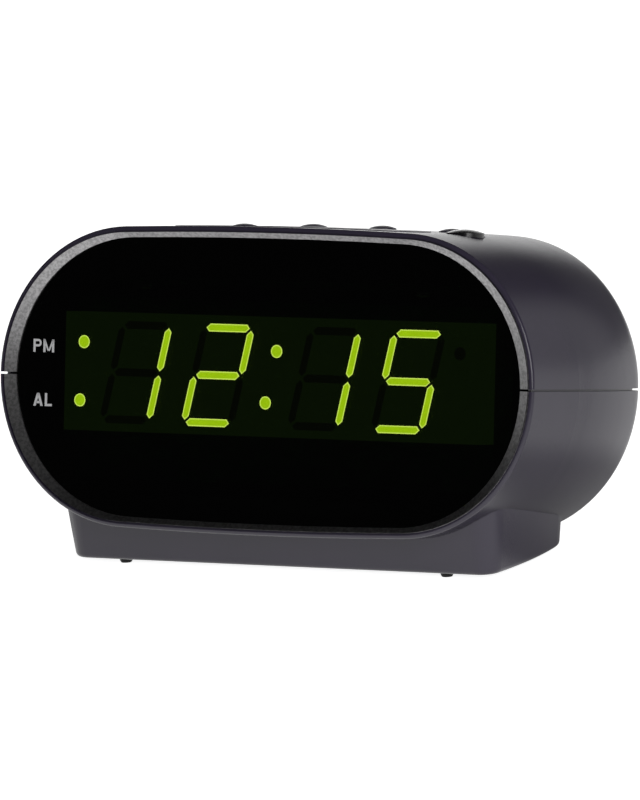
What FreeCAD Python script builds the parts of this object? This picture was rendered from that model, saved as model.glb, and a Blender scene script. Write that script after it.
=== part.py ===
"""Small mains alarm clock with an LED display and a leaning oval case.

Two moulded case halves meet on a parting line at mid height. They trap a dark
lens in a groove, hold two circuit boards and a transformer, and end below in a
wedge-shaped plinth with a battery bay. All sizes are in millimetres.

Two frames are used. The room frame has +Z up, +X right and the display towards
-Y, with the origin under the middle of the clock. The case frame is the one the
moulder would use: its origin is the middle of the bezel's front plane, y runs
into the case and z runs up the display. lean_back() turns a case-frame shape
into the room frame.
"""
import FreeCAD
import Part
import math
import os

Vec = FreeCAD.Vector
EAST = Vec(1, 0, 0)
INWARD = Vec(0, 1, 0)
UP = Vec(0, 0, 1)

# ---------------------------------------------------------------- case shell
LEAN = 9.2             # degrees the display leans back
CHIN_HEIGHT = 9.1      # lowest point of the bezel above the table
CASE_WIDTH = 138.0
CASE_HEIGHT = 68.0
CASE_CROWN = 0.6       # rise of the long sides over the rounded ends' radius
CASE_DEPTH = 62.0      # bezel plane to the back
WALL = 2.0
PLAN_FLANK = 20.0      # seen from above: straight side before it curves in,
PLAN_BARREL_R = 132.0  # its long curve,
PLAN_HEEL_R = 13.6     # and the rounding into the back
SIDE_FLANK = 44.0      # the same three, seen from the side
SIDE_BARREL_R = 247.0
SIDE_HEEL_R = 7.7
SECTIONS = 12          # ovals that carry the curved rear of the case
NOSE_R = 0.8           # rounding of the bezel's outer edge
SEAM_GAP = 0.5         # parting line, seen from outside
SEAM_DEPTH = 1.3       # the halves meet on the inner part of the wall

# ------------------------------------------------------------- bezel and lens
BEZEL_SIDE = 3.9       # bezel beside the window
BEZEL_TOP = 2.5        # bezel above and below the window
WINDOW_CROWN = 0.5     # rise of the window's long sides over its ends' radius
RIM_THICKNESS = 1.4
RIM_LIP = 0.3          # upright edge of the bezel against the lens; the rest slopes
RIM_GROOVE = 0.45      # fine groove round the bezel
RIM_GROOVE_DEPTH = 0.4
RIM_LAND = 0.9         # bezel outside the fine groove
LENS_THICKNESS = 2.0
LENS_OVERLAP = 0.8     # lens hidden behind the bezel
FIT_GAP = 0.1          # moulded part in a moulded pocket

# --------------------------------------------------------------------- plinth
PLINTH_INSET = 14.4    # plinth's side from the case's side
PLINTH_FRONT = 1.8     # behind the middle of the bezel plane
PLINTH_LENGTH = 45.5
PLINTH_FRONT_R = 4.2   # seen from above: its front corner,
PLINTH_BARREL_R = 133.0  # the long curve of its side,
PLINTH_HEEL_R = 14.0   # and the rounding into its back
PLINTH_DRAFT = 7.0     # degrees
PLINTH_REACH = 18.6    # height of the plinth's walls, up into the shell
PLINTH_EDGE_R = 1.2    # rounding round the underside

# ----------------------------------------------------------------------- feet
FOOT_R = 1.5
FOOT_HEIGHT = 1.0
FOOT_PEG_R = 1.0
FOOT_PEG_END = 0.6     # peg inside the plinth's floor
FOOT_ROOM = 0.4        # foot's edge from the rounding round the underside
FOOT_REAR_ROOM = 1.3
FOOT_SIDE = 13.0       # foot centre from the plinth's side
FOOT_REAR_SIDE = 20.0

# ---------------------------------------------------------------- battery bay
CELL_R = 5.25
CELL_LENGTH = 44.5
CELL_NUB_R = 1.9
CELL_NUB_LENGTH = 1.0
CELL_EDGE_R = 0.4
CELL_PLAY = 0.1        # cell above the bay's floor, and from the next cell
BAY_END_ROOM = 3.2     # room for a contact at each end of a cell
BAY_SIDE_ROOM = 0.5
BAY_INSET = 5.6        # bay behind the plinth's front
BAY_WALL = 1.4
DOOR_THICKNESS = 1.8
DOOR_PROUD = 0.6       # door below the plinth's underside
DOOR_GAP = 0.3
DOOR_CORNER_R = 2.0
DOOR_LEDGE = 2.4       # bay in front of the door's mouth
TONGUE_WIDTH = 5.0
TONGUE_REACH = 1.5
TONGUE_THICKNESS = 1.0
TONGUE_SPREAD = 17.0
TONGUE_ROOT = 1.2      # tongue's root on the door
TONGUE_PLAY = 0.15     # tongue above the plinth's floor
GRIP_WIDTH = 14.0
GRIP_DEPTH = 2.6       # finger grip from the door's rear edge
GRIP_LENGTH = 2.2
GRIP_CORNER_R = 1.0
GRIP_CUT = 0.8
LATCH_WIDTH = 12.0
LATCH_HEIGHT = 2.4
LATCH_THICKNESS = 0.8
SPRING_WIRE_R = 0.35
SPRING_COIL_R = 2.6
SPRING_TURNS = 3
SPRING_CONE = 20.0     # degrees, half angle
PLATE_THICKNESS = 0.4
PLATE_SIZE = 7.0
PLATE_BUMP_R = 1.8

# ----------------------------------------------------------------- case bosses
BOSS_R = 3.2
SHANK_HOLE_R = 1.5
PILOT_R = 1.1
HEAD_HOLE_R = 2.7
SCREW_R = 1.2
SCREW_HEAD_R = 2.4
SCREW_HEAD_HEIGHT = 1.7
HEAD_ROUNDING = 0.45   # of a screw head's height
CROSS_REACH = 0.62     # arm of the cross recess, of the head's radius
CROSS_DEPTH = 0.5      # of the head's height
CROSS_WIDTH = 0.6
SCREW_REACH = 9.0      # screw above the parting line
SCREW_SEAT = 12.0      # head seat below the parting line
BOSS_FRONT_SIDE = 22.0 # front bosses from the case's sides
BOSS_FRONT_Y = 22.0
BOSS_REAR_SIDE = 26.5
BOSS_REAR_BACK = 13.0  # rear bosses from the back

# --------------------------------------------------------------------- display
DIGIT_HEIGHT = 22.8
DIGIT_WIDTH = 13.9
DIGIT_SLANT = 13.0     # degrees
STROKE = 1.75
STROKE_GAP = 0.45
DIGIT_CENTRES = (-34.8, -13.4, 14.2, 35.6)
DIGIT_MIDDLE = 0.95    # above the middle of the case
COLON_X = 0.4
COLON_SPREAD = 5.7
DOT_R = 1.45
DOT_X = -49.0          # indicators: their middle,
DOT_LEAN = 0.4         # and how far each leans from it
DOT_SPREAD = 6.5
SPARE_DOT_X = 48.6
MODULE_WIDTH = 107.0
MODULE_HEIGHT = 26.4
MODULE_DEPTH = 7.0
MODULE_GAP = 0.4       # behind the lens
PIPE_DEPTH = 5.0
SHOWN = ("bc", "abged", "bc", "afgcd")

# ---------------------------------------------------------------------- boards
BOARD = 1.6
MAIN_SIDE = 11.0       # main board's end from the case's side
MAIN_FOOT = 11.0       # its lower edge above the case's lowest line
BOARDS_APART = 3.1     # its upper edge below the key board
SLOT_GAP = 0.15
SLOT_RIB = 1.2
SLOT_REACH = 3.5
SLOT_LENGTH = 9.0
KEY_BOARD_DROP = 13.4  # key board's underside below the case's highest line
KEY_BOARD_EDGE = 4.0   # board outside its screws, left and rear
KEY_BOARD_END = 6.0    # board outside the domed key
KEY_BOARD_LEAD = 7.5   # board in front of the bar's and the dome's middles
BOARD_POST_R = 2.6
BOARD_SCREW_R = 0.9
BOARD_SCREW_PILOT_R = 0.8
BOARD_SCREW_HEAD_R = 1.8
BOARD_SCREW_HEAD = 1.2
BOARD_SCREW_REACH = 4.5
PILOT_ROOM = 0.5       # pilot hole beyond the screw's point
BOARD_POSTS = ((-38.0, 13.0), (-38.0, 38.0), (35.0, 11.0), (38.0, 38.0))
BOARD_HOLE_GAP = 0.2
BOARD_NOTCH_GAP = 0.6

# ------------------------------------------------------------------------ keys
KEY_GAP = 0.2          # key in its hole
KEY_TRAVEL = 0.8
KEY_WALL = 1.3
KEY_LIP = 0.8
KEY_LIP_THICKNESS = 0.7
KEY_PLAY = 0.1         # over a key's lip and under its stem
KEY_SHOULDER = 0.35    # straight part of a round key above the case, of its height
STEM_R = 1.4
BAR_LENGTH = 60.0
BAR_DEPTH = 16.0
BAR_CORNER_R = 4.0
BAR_Y = 15.5
BAR_PROUD = 0.2
BAR_STEM_SPREAD = 18.0
BAR_RIB = 1.2          # thickness of the ribs inside the bar
BAR_RIB_END = 0.5      # rib's end from the bar's outside
BAR_RIB_ROOM = 1.2     # rib above the pressed switch
DOME_R = 4.2
DOME_PROUD = 1.2
DOME_SIDE = 31.0       # dome's middle from the case's side
DOME_Y = 22.0
SET_KEY_R = 3.0
SET_KEY_PROUD = 0.9
SET_KEY_Y = 35.0
SET_KEYS = {
    "time_button": -27.0,
    "alarm_set_button": -9.0,
    "hour_button": 9.0,
    "minute_button": 27.0,
}
SWITCH_SIDE = 6.0
SWITCH_HEIGHT = 3.4
PLUNGER_R = 1.7
PLUNGER_HEIGHT = 0.9

# ----------------------------------------------------------------- components
CHIP = (35.0, 3.5, 8.0)
CHIP_AT = (12.0, -7.0)
CHIP_LIFT = 0.5
PIN_PITCH = 2.54
PIN_WIDTH = 0.6
PIN_DEPTH = 0.8
PIN_SHOULDER = 2.0     # pins reach this far off the board
CAN_BEAD = 1.6         # height of the bead round a can
CAN_BEAD_R = 0.55
CAN_BEAD_OUT = 0.35
CAPACITORS = ((-14.0, -6.0, 4.0, 11.0), (-25.0, -7.5, 3.2, 11.0), (-14.0, 5.5, 2.5, 7.0))
BUZZER_R = 7.0
BUZZER_HEIGHT = 5.5
BUZZER_END = 15.0      # buzzer's middle from the main board's end
BUZZER_Z = 4.0
BUZZER_HOLE_R = 1.1
BUZZER_BASE = 1.5
CORE = (30.0, 14.0, 25.0)      # width, depth, height of the laminations
CORE_AT = (-18.0, 42.0)        # x and y of the core's middle
CORE_LIMB = 5.0
COIL_BULGE = 3.2
COIL_PLAY = 0.1
COIL_ROUNDING = 0.8    # of the bulge
CORE_FLANGE = 5.5
CORE_PLATE = 1.0
CORE_POST = 14.0               # posts that carry it, above the case's lowest line
CORE_HOLE_GAP = 0.3
CORE_SCREW_R = 1.3
CORE_SCREW_REACH = 6.0
CORE_SCREW_PILOT_R = 1.15
RIBBON_WIDTH = 14.0
RIBBON_THICKNESS = 1.0
RIBBON_X = 0.0
RIBBON_DROP = 5.0      # soldered this far below the main board's top
RIBBON_BEND = 3.0

# ------------------------------------------------------------------ cord gland
GLAND_X = 24.0
GLAND_HOLE_R = 4.0
GLAND_FLANGE_R = 5.2
GLAND_FLANGE = 1.5
GLAND_BORE_R = 1.9
GLAND_PLAY = 0.02

# --------------------------------------------------- places that follow from it
HALF_W = CASE_WIDTH / 2
HALF_H = CASE_HEIGHT / 2
LEAN_SIN = math.sin(math.radians(LEAN))
LEAN_COS = math.cos(math.radians(LEAN))
CASE_END_R = HALF_H - CASE_CROWN
WINDOW_HALF_W = HALF_W - BEZEL_SIDE
WINDOW_HALF_H = HALF_H - BEZEL_TOP
WINDOW_END_R = WINDOW_HALF_H - WINDOW_CROWN
FRONT_REACH = NOSE_R * LEAN_COS - (HALF_H - NOSE_R) * LEAN_SIN - NOSE_R
SIDE_SIN = (CASE_DEPTH - SIDE_FLANK - SIDE_HEEL_R) / (SIDE_BARREL_R - SIDE_HEEL_R)
SIDE_HEEL_IN = SIDE_BARREL_R - (SIDE_BARREL_R - SIDE_HEEL_R) * math.sqrt(1 - SIDE_SIN ** 2)
BACK_REACH = ((CASE_DEPTH - SIDE_HEEL_R) * LEAN_COS + (HALF_H - SIDE_HEEL_IN) * LEAN_SIN
              + SIDE_HEEL_R)
FACE_Y = -(FRONT_REACH + BACK_REACH) / 2
FACE_Z = CHIN_HEIGHT + (HALF_H - NOSE_R) * LEAN_COS + NOSE_R * (1 + LEAN_SIN)
LENS_Y = RIM_THICKNESS
DISPLAY_Y = LENS_Y + LENS_THICKNESS + MODULE_GAP
BOARD_Y = DISPLAY_Y + MODULE_DEPTH
BOARD_BACK = BOARD_Y + BOARD
UNDERSIDE = FOOT_HEIGHT
PLINTH_HALF_WIDTH = HALF_W - PLINTH_INSET
PLINTH_Y = FACE_Y + PLINTH_FRONT
PLINTH_BACK = PLINTH_Y + PLINTH_LENGTH
BAY_HALF_LENGTH = CELL_LENGTH / 2 + BAY_END_ROOM
BAY_Y = PLINTH_Y + BAY_INSET
BAY_BACK = BAY_Y + DOOR_LEDGE + 4 * CELL_R + 2 * BAY_SIDE_ROOM
BAY_FLOOR = UNDERSIDE + WALL
BAY_ROOF = BAY_FLOOR + 2 * CELL_R + BAY_SIDE_ROOM
BOSS_FRONT = (HALF_W - BOSS_FRONT_SIDE, BOSS_FRONT_Y)
BOSS_REAR = (HALF_W - BOSS_REAR_SIDE, CASE_DEPTH - BOSS_REAR_BACK)
DOME_X = HALF_W - DOME_SIDE
KEY_BOARD_LEVEL = HALF_H - KEY_BOARD_DROP
MAIN_HALF_WIDTH = HALF_W - MAIN_SIDE
MAIN_BOTTOM = MAIN_FOOT - HALF_H
MAIN_TOP = KEY_BOARD_LEVEL - BOARDS_APART
CORE_FLOOR = CORE_POST - HALF_H
SWITCH_TOP = KEY_BOARD_LEVEL + BOARD + SWITCH_HEIGHT
PLUNGER_TOP = SWITCH_TOP + PLUNGER_HEIGHT
STEM_BOTTOM = PLUNGER_TOP + KEY_TRAVEL + KEY_PLAY


# ---------------------------------------------------------------- shape helpers
def lean_back(shape):
    """Places a case-frame shape in the room frame."""
    turn = FreeCAD.Rotation(EAST, -LEAN)
    placed = shape.copy()
    placed.transformShape(FreeCAD.Placement(Vec(0, FACE_Y, FACE_Z), turn).toMatrix())
    return placed


def block(x0, x1, y0, y1, z0, z1):
    """Box between two corners."""
    return Part.makeBox(x1 - x0, y1 - y0, z1 - z0, Vec(x0, y0, z0))


def post(x, y, z0, z1, radius):
    """Upright cylinder from z0 to z1."""
    return Part.makeCylinder(radius, z1 - z0, Vec(x, y, z0), UP)


def fused(shapes):
    """Union of a list of shapes, without the seams between them."""
    shapes = list(shapes)
    if len(shapes) == 1:
        return shapes[0]
    return shapes[0].fuse(shapes[1:]).removeSplitter()


def ring_point(centre, radius, angle, y):
    """Point at an angle on a circle that faces along y."""
    x, z = centre
    return Vec(x + radius * math.cos(angle), y, z + radius * math.sin(angle))


def oval_arcs(half_w, half_h, end_r):
    """Centre, radius, first and last angle of the oval's four arcs.

    The ends are arcs of end_r and the long sides are shallow crowned arcs that
    meet them with a common tangent.
    """
    end_x = half_w - end_r
    rise = half_h - end_r
    drop = (end_x ** 2 - rise ** 2) / (2 * rise)
    tip = math.atan2(drop, end_x)
    crown_r = half_h + drop
    return (
        ((end_x, 0), end_r, -tip, tip),
        ((0, -drop), crown_r, tip, math.pi - tip),
        ((-end_x, 0), end_r, math.pi - tip, math.pi + tip),
        ((0, drop), crown_r, math.pi + tip, 2 * math.pi - tip),
    )


def oval_wire(half_w, half_h, end_r, y):
    """Outline of the four-arc oval at depth y."""
    edges = []
    for centre, radius, start, stop in oval_arcs(half_w, half_h, end_r):
        ends = [ring_point(centre, radius, a, y) for a in (start, (start + stop) / 2, stop)]
        edges.append(Part.Arc(*ends).toShape())
    return Part.Wire(edges)


def oval_plate(half_w, half_h, end_r, y0, y1):
    """Flat plate with the outline of the four-arc oval."""
    return Part.Face(oval_wire(half_w, half_h, end_r, y0)).extrude(Vec(0, y1 - y0, 0))


def curve_in(y, flank, barrel_r, heel_r, offset):
    """How far a side has moved in at depth y, with the profile moved in by offset.

    The profile is a straight flank, a long barrel arc and a heel arc that ends
    square to the back. Moved profiles keep the arcs' centres.
    """
    sine = (CASE_DEPTH - flank - heel_r) / (barrel_r - heel_r)
    if y <= flank:
        return offset
    if y <= flank + (barrel_r - offset) * sine:
        return barrel_r - math.sqrt((barrel_r - offset) ** 2 - (y - flank) ** 2)
    heel_in = barrel_r - (barrel_r - heel_r) * math.sqrt(1 - sine ** 2)
    reach = min(y - (CASE_DEPTH - heel_r), heel_r - offset)
    return heel_in - math.sqrt((heel_r - offset) ** 2 - reach ** 2)


def section(y, offset):
    """Half width, half height and end radius of the case's oval at depth y."""
    half_w = HALF_W - curve_in(y, PLAN_FLANK, PLAN_BARREL_R, PLAN_HEEL_R, offset)
    half_h = HALF_H - curve_in(y, SIDE_FLANK, SIDE_BARREL_R, SIDE_HEEL_R, offset)
    return half_w, half_h, half_h - CASE_CROWN


def shell_solid(offset=0.0, nose_r=0.0):
    """The case's outer form, moved inwards by offset, as one closed solid.

    The straight front is a prism. The rear is a smooth loft through ovals that
    stand closer together towards the heel.
    """
    front = oval_plate(*section(0, offset), 0, PLAN_FLANK)
    if nose_r:
        rim = [e for e in front.Edges if abs(e.CenterOfMass.y) < 1e-6]
        front = front.makeFillet(nose_r, rim)
    length = CASE_DEPTH - offset - PLAN_FLANK
    wires = []
    for i in range(SECTIONS + 1):
        y = PLAN_FLANK + length * math.sin(math.pi / 2 * i / SECTIONS)
        wires.append(oval_wire(*section(y, offset), y))
    return front.fuse(Part.makeLoft(wires, True, False))


def half_space(above):
    """Case-frame block that covers one side of the parting plane."""
    reach = CASE_WIDTH
    if above:
        return block(-reach, reach, -reach, reach, 0, reach)
    return block(-reach, reach, -reach, reach, -reach, 0)


# ------------------------------------------------------------------ case pieces
def seam_groove():
    """Groove round the outside where the two halves meet; it parts the bezel right through."""
    band = block(-CASE_WIDTH, CASE_WIDTH, -1, CASE_DEPTH + 1, -SEAM_GAP / 2, SEAM_GAP / 2)
    front = band.common(block(-CASE_WIDTH, CASE_WIDTH, -1, LENS_Y, -1, 1))
    return band.cut(shell_solid(SEAM_DEPTH)).fuse(front)


def rim_groove():
    """Fine groove in the bezel, just inside its rounded edge."""
    outer = RIM_LAND
    inner = RIM_LAND + RIM_GROOVE
    wide = oval_plate(HALF_W - outer, HALF_H - outer, CASE_END_R - outer, -1, RIM_GROOVE_DEPTH)
    narrow = oval_plate(HALF_W - inner, HALF_H - inner, CASE_END_R - inner, -1, RIM_GROOVE_DEPTH)
    return wide.cut(narrow)


def lens_groove():
    """Room for the lens behind the bezel."""
    grow = LENS_OVERLAP + FIT_GAP
    return oval_plate(WINDOW_HALF_W + grow, WINDOW_HALF_H + grow, WINDOW_END_R + grow,
                      LENS_Y, LENS_Y + LENS_THICKNESS + FIT_GAP)


def window():
    """Opening in the bezel: a slope all round, then a short upright edge at the lens."""
    land = RIM_LAND + RIM_GROOVE
    mouth = oval_wire(HALF_W - land, HALF_H - land, CASE_END_R - land, 0)
    throat = oval_wire(WINDOW_HALF_W, WINDOW_HALF_H, WINDOW_END_R, LENS_Y - RIM_LIP)
    slope = Part.makeLoft([mouth, throat], True, True)
    hole = oval_plate(WINDOW_HALF_W, WINDOW_HALF_H, WINDOW_END_R, -1, LENS_Y + 1)
    return slope.fuse(hole)


def cavity():
    """Hollow inside the shell, behind the lens."""
    front = block(-CASE_WIDTH, CASE_WIDTH, LENS_Y, CASE_DEPTH, -CASE_HEIGHT, CASE_HEIGHT)
    return shell_solid(WALL).common(front)


def case_bosses(above):
    """Solid screw bosses of one half, in the case frame."""
    bosses = []
    for x, y in (BOSS_FRONT, BOSS_REAR):
        for side in (-1, 1):
            if above:
                bosses.append(post(side * x, y, SEAM_GAP / 2, HALF_H, BOSS_R))
            else:
                bosses.append(post(side * x, y, -CASE_HEIGHT, -SEAM_GAP / 2, BOSS_R))
    return bosses


def boss_holes(above):
    """Holes in the bosses: pilots above the parting line, clearance below."""
    holes = []
    for x, y in (BOSS_FRONT, BOSS_REAR):
        for side in (-1, 1):
            if above:
                holes.append(post(side * x, y, -1, SCREW_REACH + 1, PILOT_R))
            else:
                holes.append(post(side * x, y, -SCREW_SEAT - 1, 1, SHANK_HOLE_R))
                holes.append(post(side * x, y, -CASE_HEIGHT, -SCREW_SEAT, HEAD_HOLE_R))
    return holes


def board_slots(z0, z1):
    """Pairs of ribs that hold the upright board by its side edges."""
    ribs = []
    for side in (-1, 1):
        inner = side * (MAIN_HALF_WIDTH - SLOT_REACH)
        outer = side * HALF_W
        x0, x1 = min(inner, outer), max(inner, outer)
        for y0 in (BOARD_Y - SLOT_GAP - SLOT_RIB, BOARD_BACK + SLOT_GAP):
            ribs.append(block(x0, x1, y0, y0 + SLOT_RIB, z0, z1))
    return ribs


def gland_hole():
    """Round hole on the parting line at the back."""
    return Part.makeCylinder(GLAND_HOLE_R, CASE_DEPTH, Vec(GLAND_X, CASE_DEPTH / 2, 0), INWARD)


def rounded_prism(x, y, length, depth, corner, z0, z1):
    """Upright prism with rounded corners, centred on x, y."""
    solid = block(x - length / 2, x + length / 2, y - depth / 2, y + depth / 2, z0, z1)
    upright = [e for e in solid.Edges if abs(e.tangentAt(e.FirstParameter).z) > 0.99]
    return solid.makeFillet(corner, upright)


def key_holes():
    """Holes in the top for the bar, the domed key and the set keys."""
    top = CASE_HEIGHT
    grow = 2 * KEY_GAP
    holes = [rounded_prism(0, BAR_Y, BAR_LENGTH + grow, BAR_DEPTH + grow,
                           BAR_CORNER_R + KEY_GAP, KEY_BOARD_LEVEL, top)]
    holes.append(post(DOME_X, DOME_Y, KEY_BOARD_LEVEL, top, DOME_R + KEY_GAP))
    for x in SET_KEYS.values():
        holes.append(post(x, SET_KEY_Y, KEY_BOARD_LEVEL, top, SET_KEY_R + KEY_GAP))
    return holes


def board_posts():
    """Posts under the top that the key board is screwed to."""
    bottom = KEY_BOARD_LEVEL + BOARD
    posts = []
    for x, y in BOARD_POSTS:
        posts.append(post(x, y, bottom, HALF_H, BOARD_POST_R))
    return posts


def board_post_holes():
    """Pilot holes of the key board's screws."""
    level = KEY_BOARD_LEVEL + BOARD
    reach = BOARD_SCREW_REACH - BOARD + PILOT_ROOM
    return [post(x, y, level - 1, level + reach, BOARD_SCREW_PILOT_R) for x, y in BOARD_POSTS]


def upper_case():
    """Upper half: shell, half bezel, bosses, board slots and key openings."""
    outer = shell_solid(0.0, NOSE_R)
    inside = cavity()
    shell = outer.cut([inside, window(), lens_groove(), rim_groove()])
    inner_parts = case_bosses(True) + board_posts() + board_slots(MAIN_TOP - SLOT_LENGTH, MAIN_TOP)
    kept = [part.common(shell_solid(WALL / 2)) for part in inner_parts]
    shell = shell.fuse(kept)
    shell = shell.common(half_space(True))
    shell = shell.cut([seam_groove(), gland_hole()] + boss_holes(True) + key_holes()
                      + board_post_holes())
    return lean_back(shell.removeSplitter())


def plinth_arcs():
    """Centre, radius, first and last angle of the arcs of the plinth's right side."""
    reach = PLINTH_BARREL_R - PLINTH_HEEL_R
    sine = (PLINTH_LENGTH - PLINTH_FRONT_R - PLINTH_HEEL_R) / reach
    turn = math.asin(sine)
    x = PLINTH_HALF_WIDTH
    y = PLINTH_Y + PLINTH_FRONT_R
    heel = (x - PLINTH_BARREL_R + reach * math.cos(turn), y + reach * sine)
    return (
        ((x - PLINTH_FRONT_R, y), PLINTH_FRONT_R, -math.pi / 2, 0),
        ((x - PLINTH_BARREL_R, y), PLINTH_BARREL_R, 0, turn),
        (heel, PLINTH_HEEL_R, turn, math.pi / 2),
    )


def plinth_outline(grow, z):
    """Plan outline of the plinth as a wire, moved outwards by grow."""
    right = []
    for (x, y), radius, start, stop in plinth_arcs():
        for angle in (start, (start + stop) / 2, stop):
            right.append(Vec(x + (radius + grow) * math.cos(angle),
                             y + (radius + grow) * math.sin(angle), z))
    left = [Vec(-p.x, p.y, p.z) for p in reversed(right)]
    edges = []
    for points in (right, left):
        for i in range(0, len(points), 3):
            edges.append(Part.Arc(*points[i:i + 3]).toShape())
    edges.insert(3, Part.LineSegment(right[-1], left[0]).toShape())
    edges.append(Part.LineSegment(left[-1], right[0]).toShape())
    return Part.Wire(edges)


def plinth_solid(inset, z0, z1):
    """Drafted plinth between two levels, its walls moved inwards by inset."""
    spread = math.tan(math.radians(PLINTH_DRAFT))
    low = plinth_outline(spread * (z0 - UNDERSIDE) - inset, z0)
    high = plinth_outline(spread * (z1 - UNDERSIDE) - inset, z1)
    return Part.makeLoft([low, high], True, True)


def foot_spots():
    """Foot names and plan places."""
    inset = PLINTH_EDGE_R + FOOT_R
    front = PLINTH_Y + inset + FOOT_ROOM
    rear = PLINTH_BACK - inset - FOOT_REAR_ROOM
    front_x = PLINTH_HALF_WIDTH - FOOT_SIDE
    rear_x = PLINTH_HALF_WIDTH - FOOT_REAR_SIDE
    return {
        "foot_front_left": (-front_x, front),
        "foot_front_right": (front_x, front),
        "foot_rear_left": (-rear_x, rear),
        "foot_rear_right": (rear_x, rear),
    }


def door_size(gap):
    """Length, depth and middle of the battery door's mouth, less a gap."""
    length = 2 * BAY_HALF_LENGTH - 2 * gap
    front = BAY_Y + DOOR_LEDGE + gap
    back = BAY_BACK - gap
    return length, front, back


def bay_shell():
    """Walls and roof of the battery bay."""
    return block(-BAY_HALF_LENGTH - BAY_WALL, BAY_HALF_LENGTH + BAY_WALL,
                 BAY_Y - BAY_WALL, BAY_BACK + BAY_WALL, UNDERSIDE, BAY_ROOF + BAY_WALL)


def bay_hollow():
    """Room for the cells above the plinth's floor."""
    return block(-BAY_HALF_LENGTH, BAY_HALF_LENGTH, BAY_Y, BAY_BACK, BAY_FLOOR, BAY_ROOF)


def bay_mouth():
    """Opening in the plinth's floor that the door closes."""
    length, front, back = door_size(0)
    return rounded_prism(0, (front + back) / 2, length, back - front, DOOR_CORNER_R + DOOR_GAP,
                         0, BAY_FLOOR + 0.1)


def core_posts():
    """Two posts that carry the transformer's flanges, in the case frame."""
    spread = CORE[0] / 2 + CORE_FLANGE / 2
    x, y = CORE_AT
    return [post(x + side * spread, y, -CASE_HEIGHT, CORE_FLOOR, BOARD_POST_R) for side in (-1, 1)]


def core_post_holes():
    """Pilot holes of the transformer's screws."""
    spread = CORE[0] / 2 + CORE_FLANGE / 2
    x, y = CORE_AT
    return [post(x + side * spread, y, CORE_FLOOR - CORE_SCREW_REACH, CORE_FLOOR + 1,
                 CORE_SCREW_PILOT_R) for side in (-1, 1)]


def lower_case():
    """Lower half: shell, half bezel, plinth, battery bay, bosses and board slots."""
    outer = lean_back(shell_solid(0.0, NOSE_R))
    plinth = plinth_solid(0, UNDERSIDE, UNDERSIDE + PLINTH_REACH)
    sole = [e for e in plinth.Edges if abs(e.CenterOfMass.z - UNDERSIDE) < 1e-6]
    body = outer.fuse(plinth.makeFillet(PLINTH_EDGE_R, sole))
    hollow = plinth_solid(WALL, UNDERSIDE + WALL, UNDERSIDE + PLINTH_REACH - WALL)
    room = lean_back(shell_solid(WALL).common(
        block(-CASE_WIDTH, CASE_WIDTH, LENS_Y, CASE_DEPTH, -CASE_HEIGHT, CASE_HEIGHT)))
    shell = body.cut([room.fuse(hollow), lean_back(window()), lean_back(lens_groove()),
                      lean_back(rim_groove())])
    skin = body.common(lean_back(half_space(False)))
    inner = case_bosses(False) + core_posts() + board_slots(MAIN_BOTTOM, MAIN_BOTTOM + SLOT_LENGTH)
    parts = [lean_back(part) for part in inner] + [bay_shell()]
    limit = lean_back(shell_solid(WALL / 2)).fuse(
        plinth_solid(WALL / 2, UNDERSIDE, UNDERSIDE + PLINTH_REACH - WALL))
    kept = [part.common(limit) for part in parts]
    shell = shell.fuse(kept).common(skin)
    cuts = [lean_back(c) for c in [seam_groove(), gland_hole()] + boss_holes(False)
            + core_post_holes()]
    cuts += [bay_hollow(), bay_mouth()]
    for x, y in foot_spots().values():
        cuts.append(post(x, y, 0, UNDERSIDE + WALL + 1, FOOT_PEG_R))
    return shell.cut(cuts).removeSplitter()


def display_lens():
    """Dark window, edges trapped behind the bezel."""
    lens = oval_plate(WINDOW_HALF_W + LENS_OVERLAP, WINDOW_HALF_H + LENS_OVERLAP,
                      WINDOW_END_R + LENS_OVERLAP, LENS_Y, LENS_Y + LENS_THICKNESS)
    return lean_back(lens)


# --------------------------------------------------------------------- display
def slanted(x, z, centre_x):
    """Leans a point of an upright digit to the right."""
    return Vec(centre_x + x + z * math.tan(math.radians(DIGIT_SLANT)), DISPLAY_Y,
               DIGIT_MIDDLE + z)


def stroke_outline(start, end):
    """Corners of a pointed stroke between two nodes of an upright digit."""
    (x0, z0), (x1, z1) = start, end
    length = math.hypot(x1 - x0, z1 - z0)
    along = ((x1 - x0) / length, (z1 - z0) / length)
    across = (-along[1], along[0])
    half = STROKE / 2
    steps = (
        (STROKE_GAP, 0),
        (STROKE_GAP + half, half),
        (length - STROKE_GAP - half, half),
        (length - STROKE_GAP, 0),
        (length - STROKE_GAP - half, -half),
        (STROKE_GAP + half, -half),
    )
    corners = []
    for run, side in steps:
        corners.append((x0 + along[0] * run + across[0] * side,
                        z0 + along[1] * run + across[1] * side))
    return corners


def digit_strokes():
    """Outline of each of the seven strokes, by its usual letter."""
    x = (DIGIT_WIDTH - STROKE) / 2
    z = (DIGIT_HEIGHT - STROKE) / 2
    return {
        "a": stroke_outline((-x, z), (x, z)),
        "b": stroke_outline((x, z), (x, 0)),
        "c": stroke_outline((x, 0), (x, -z)),
        "d": stroke_outline((-x, -z), (x, -z)),
        "e": stroke_outline((-x, 0), (-x, -z)),
        "f": stroke_outline((-x, z), (-x, 0)),
        "g": stroke_outline((-x, 0), (x, 0)),
    }


def light_pipe(corners, centre_x):
    """One stroke as a prism, from the display's front into its housing."""
    points = [slanted(x, z, centre_x) for x, z in corners]
    wire = Part.makePolygon(points + points[:1])
    return Part.Face(wire).extrude(Vec(0, PIPE_DEPTH, 0))


def dot_pipe(x, z):
    """Round light pipe for the colon and the indicators."""
    return Part.makeCylinder(DOT_R, PIPE_DEPTH, Vec(x, DISPLAY_Y, DIGIT_MIDDLE + z), INWARD)


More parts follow.
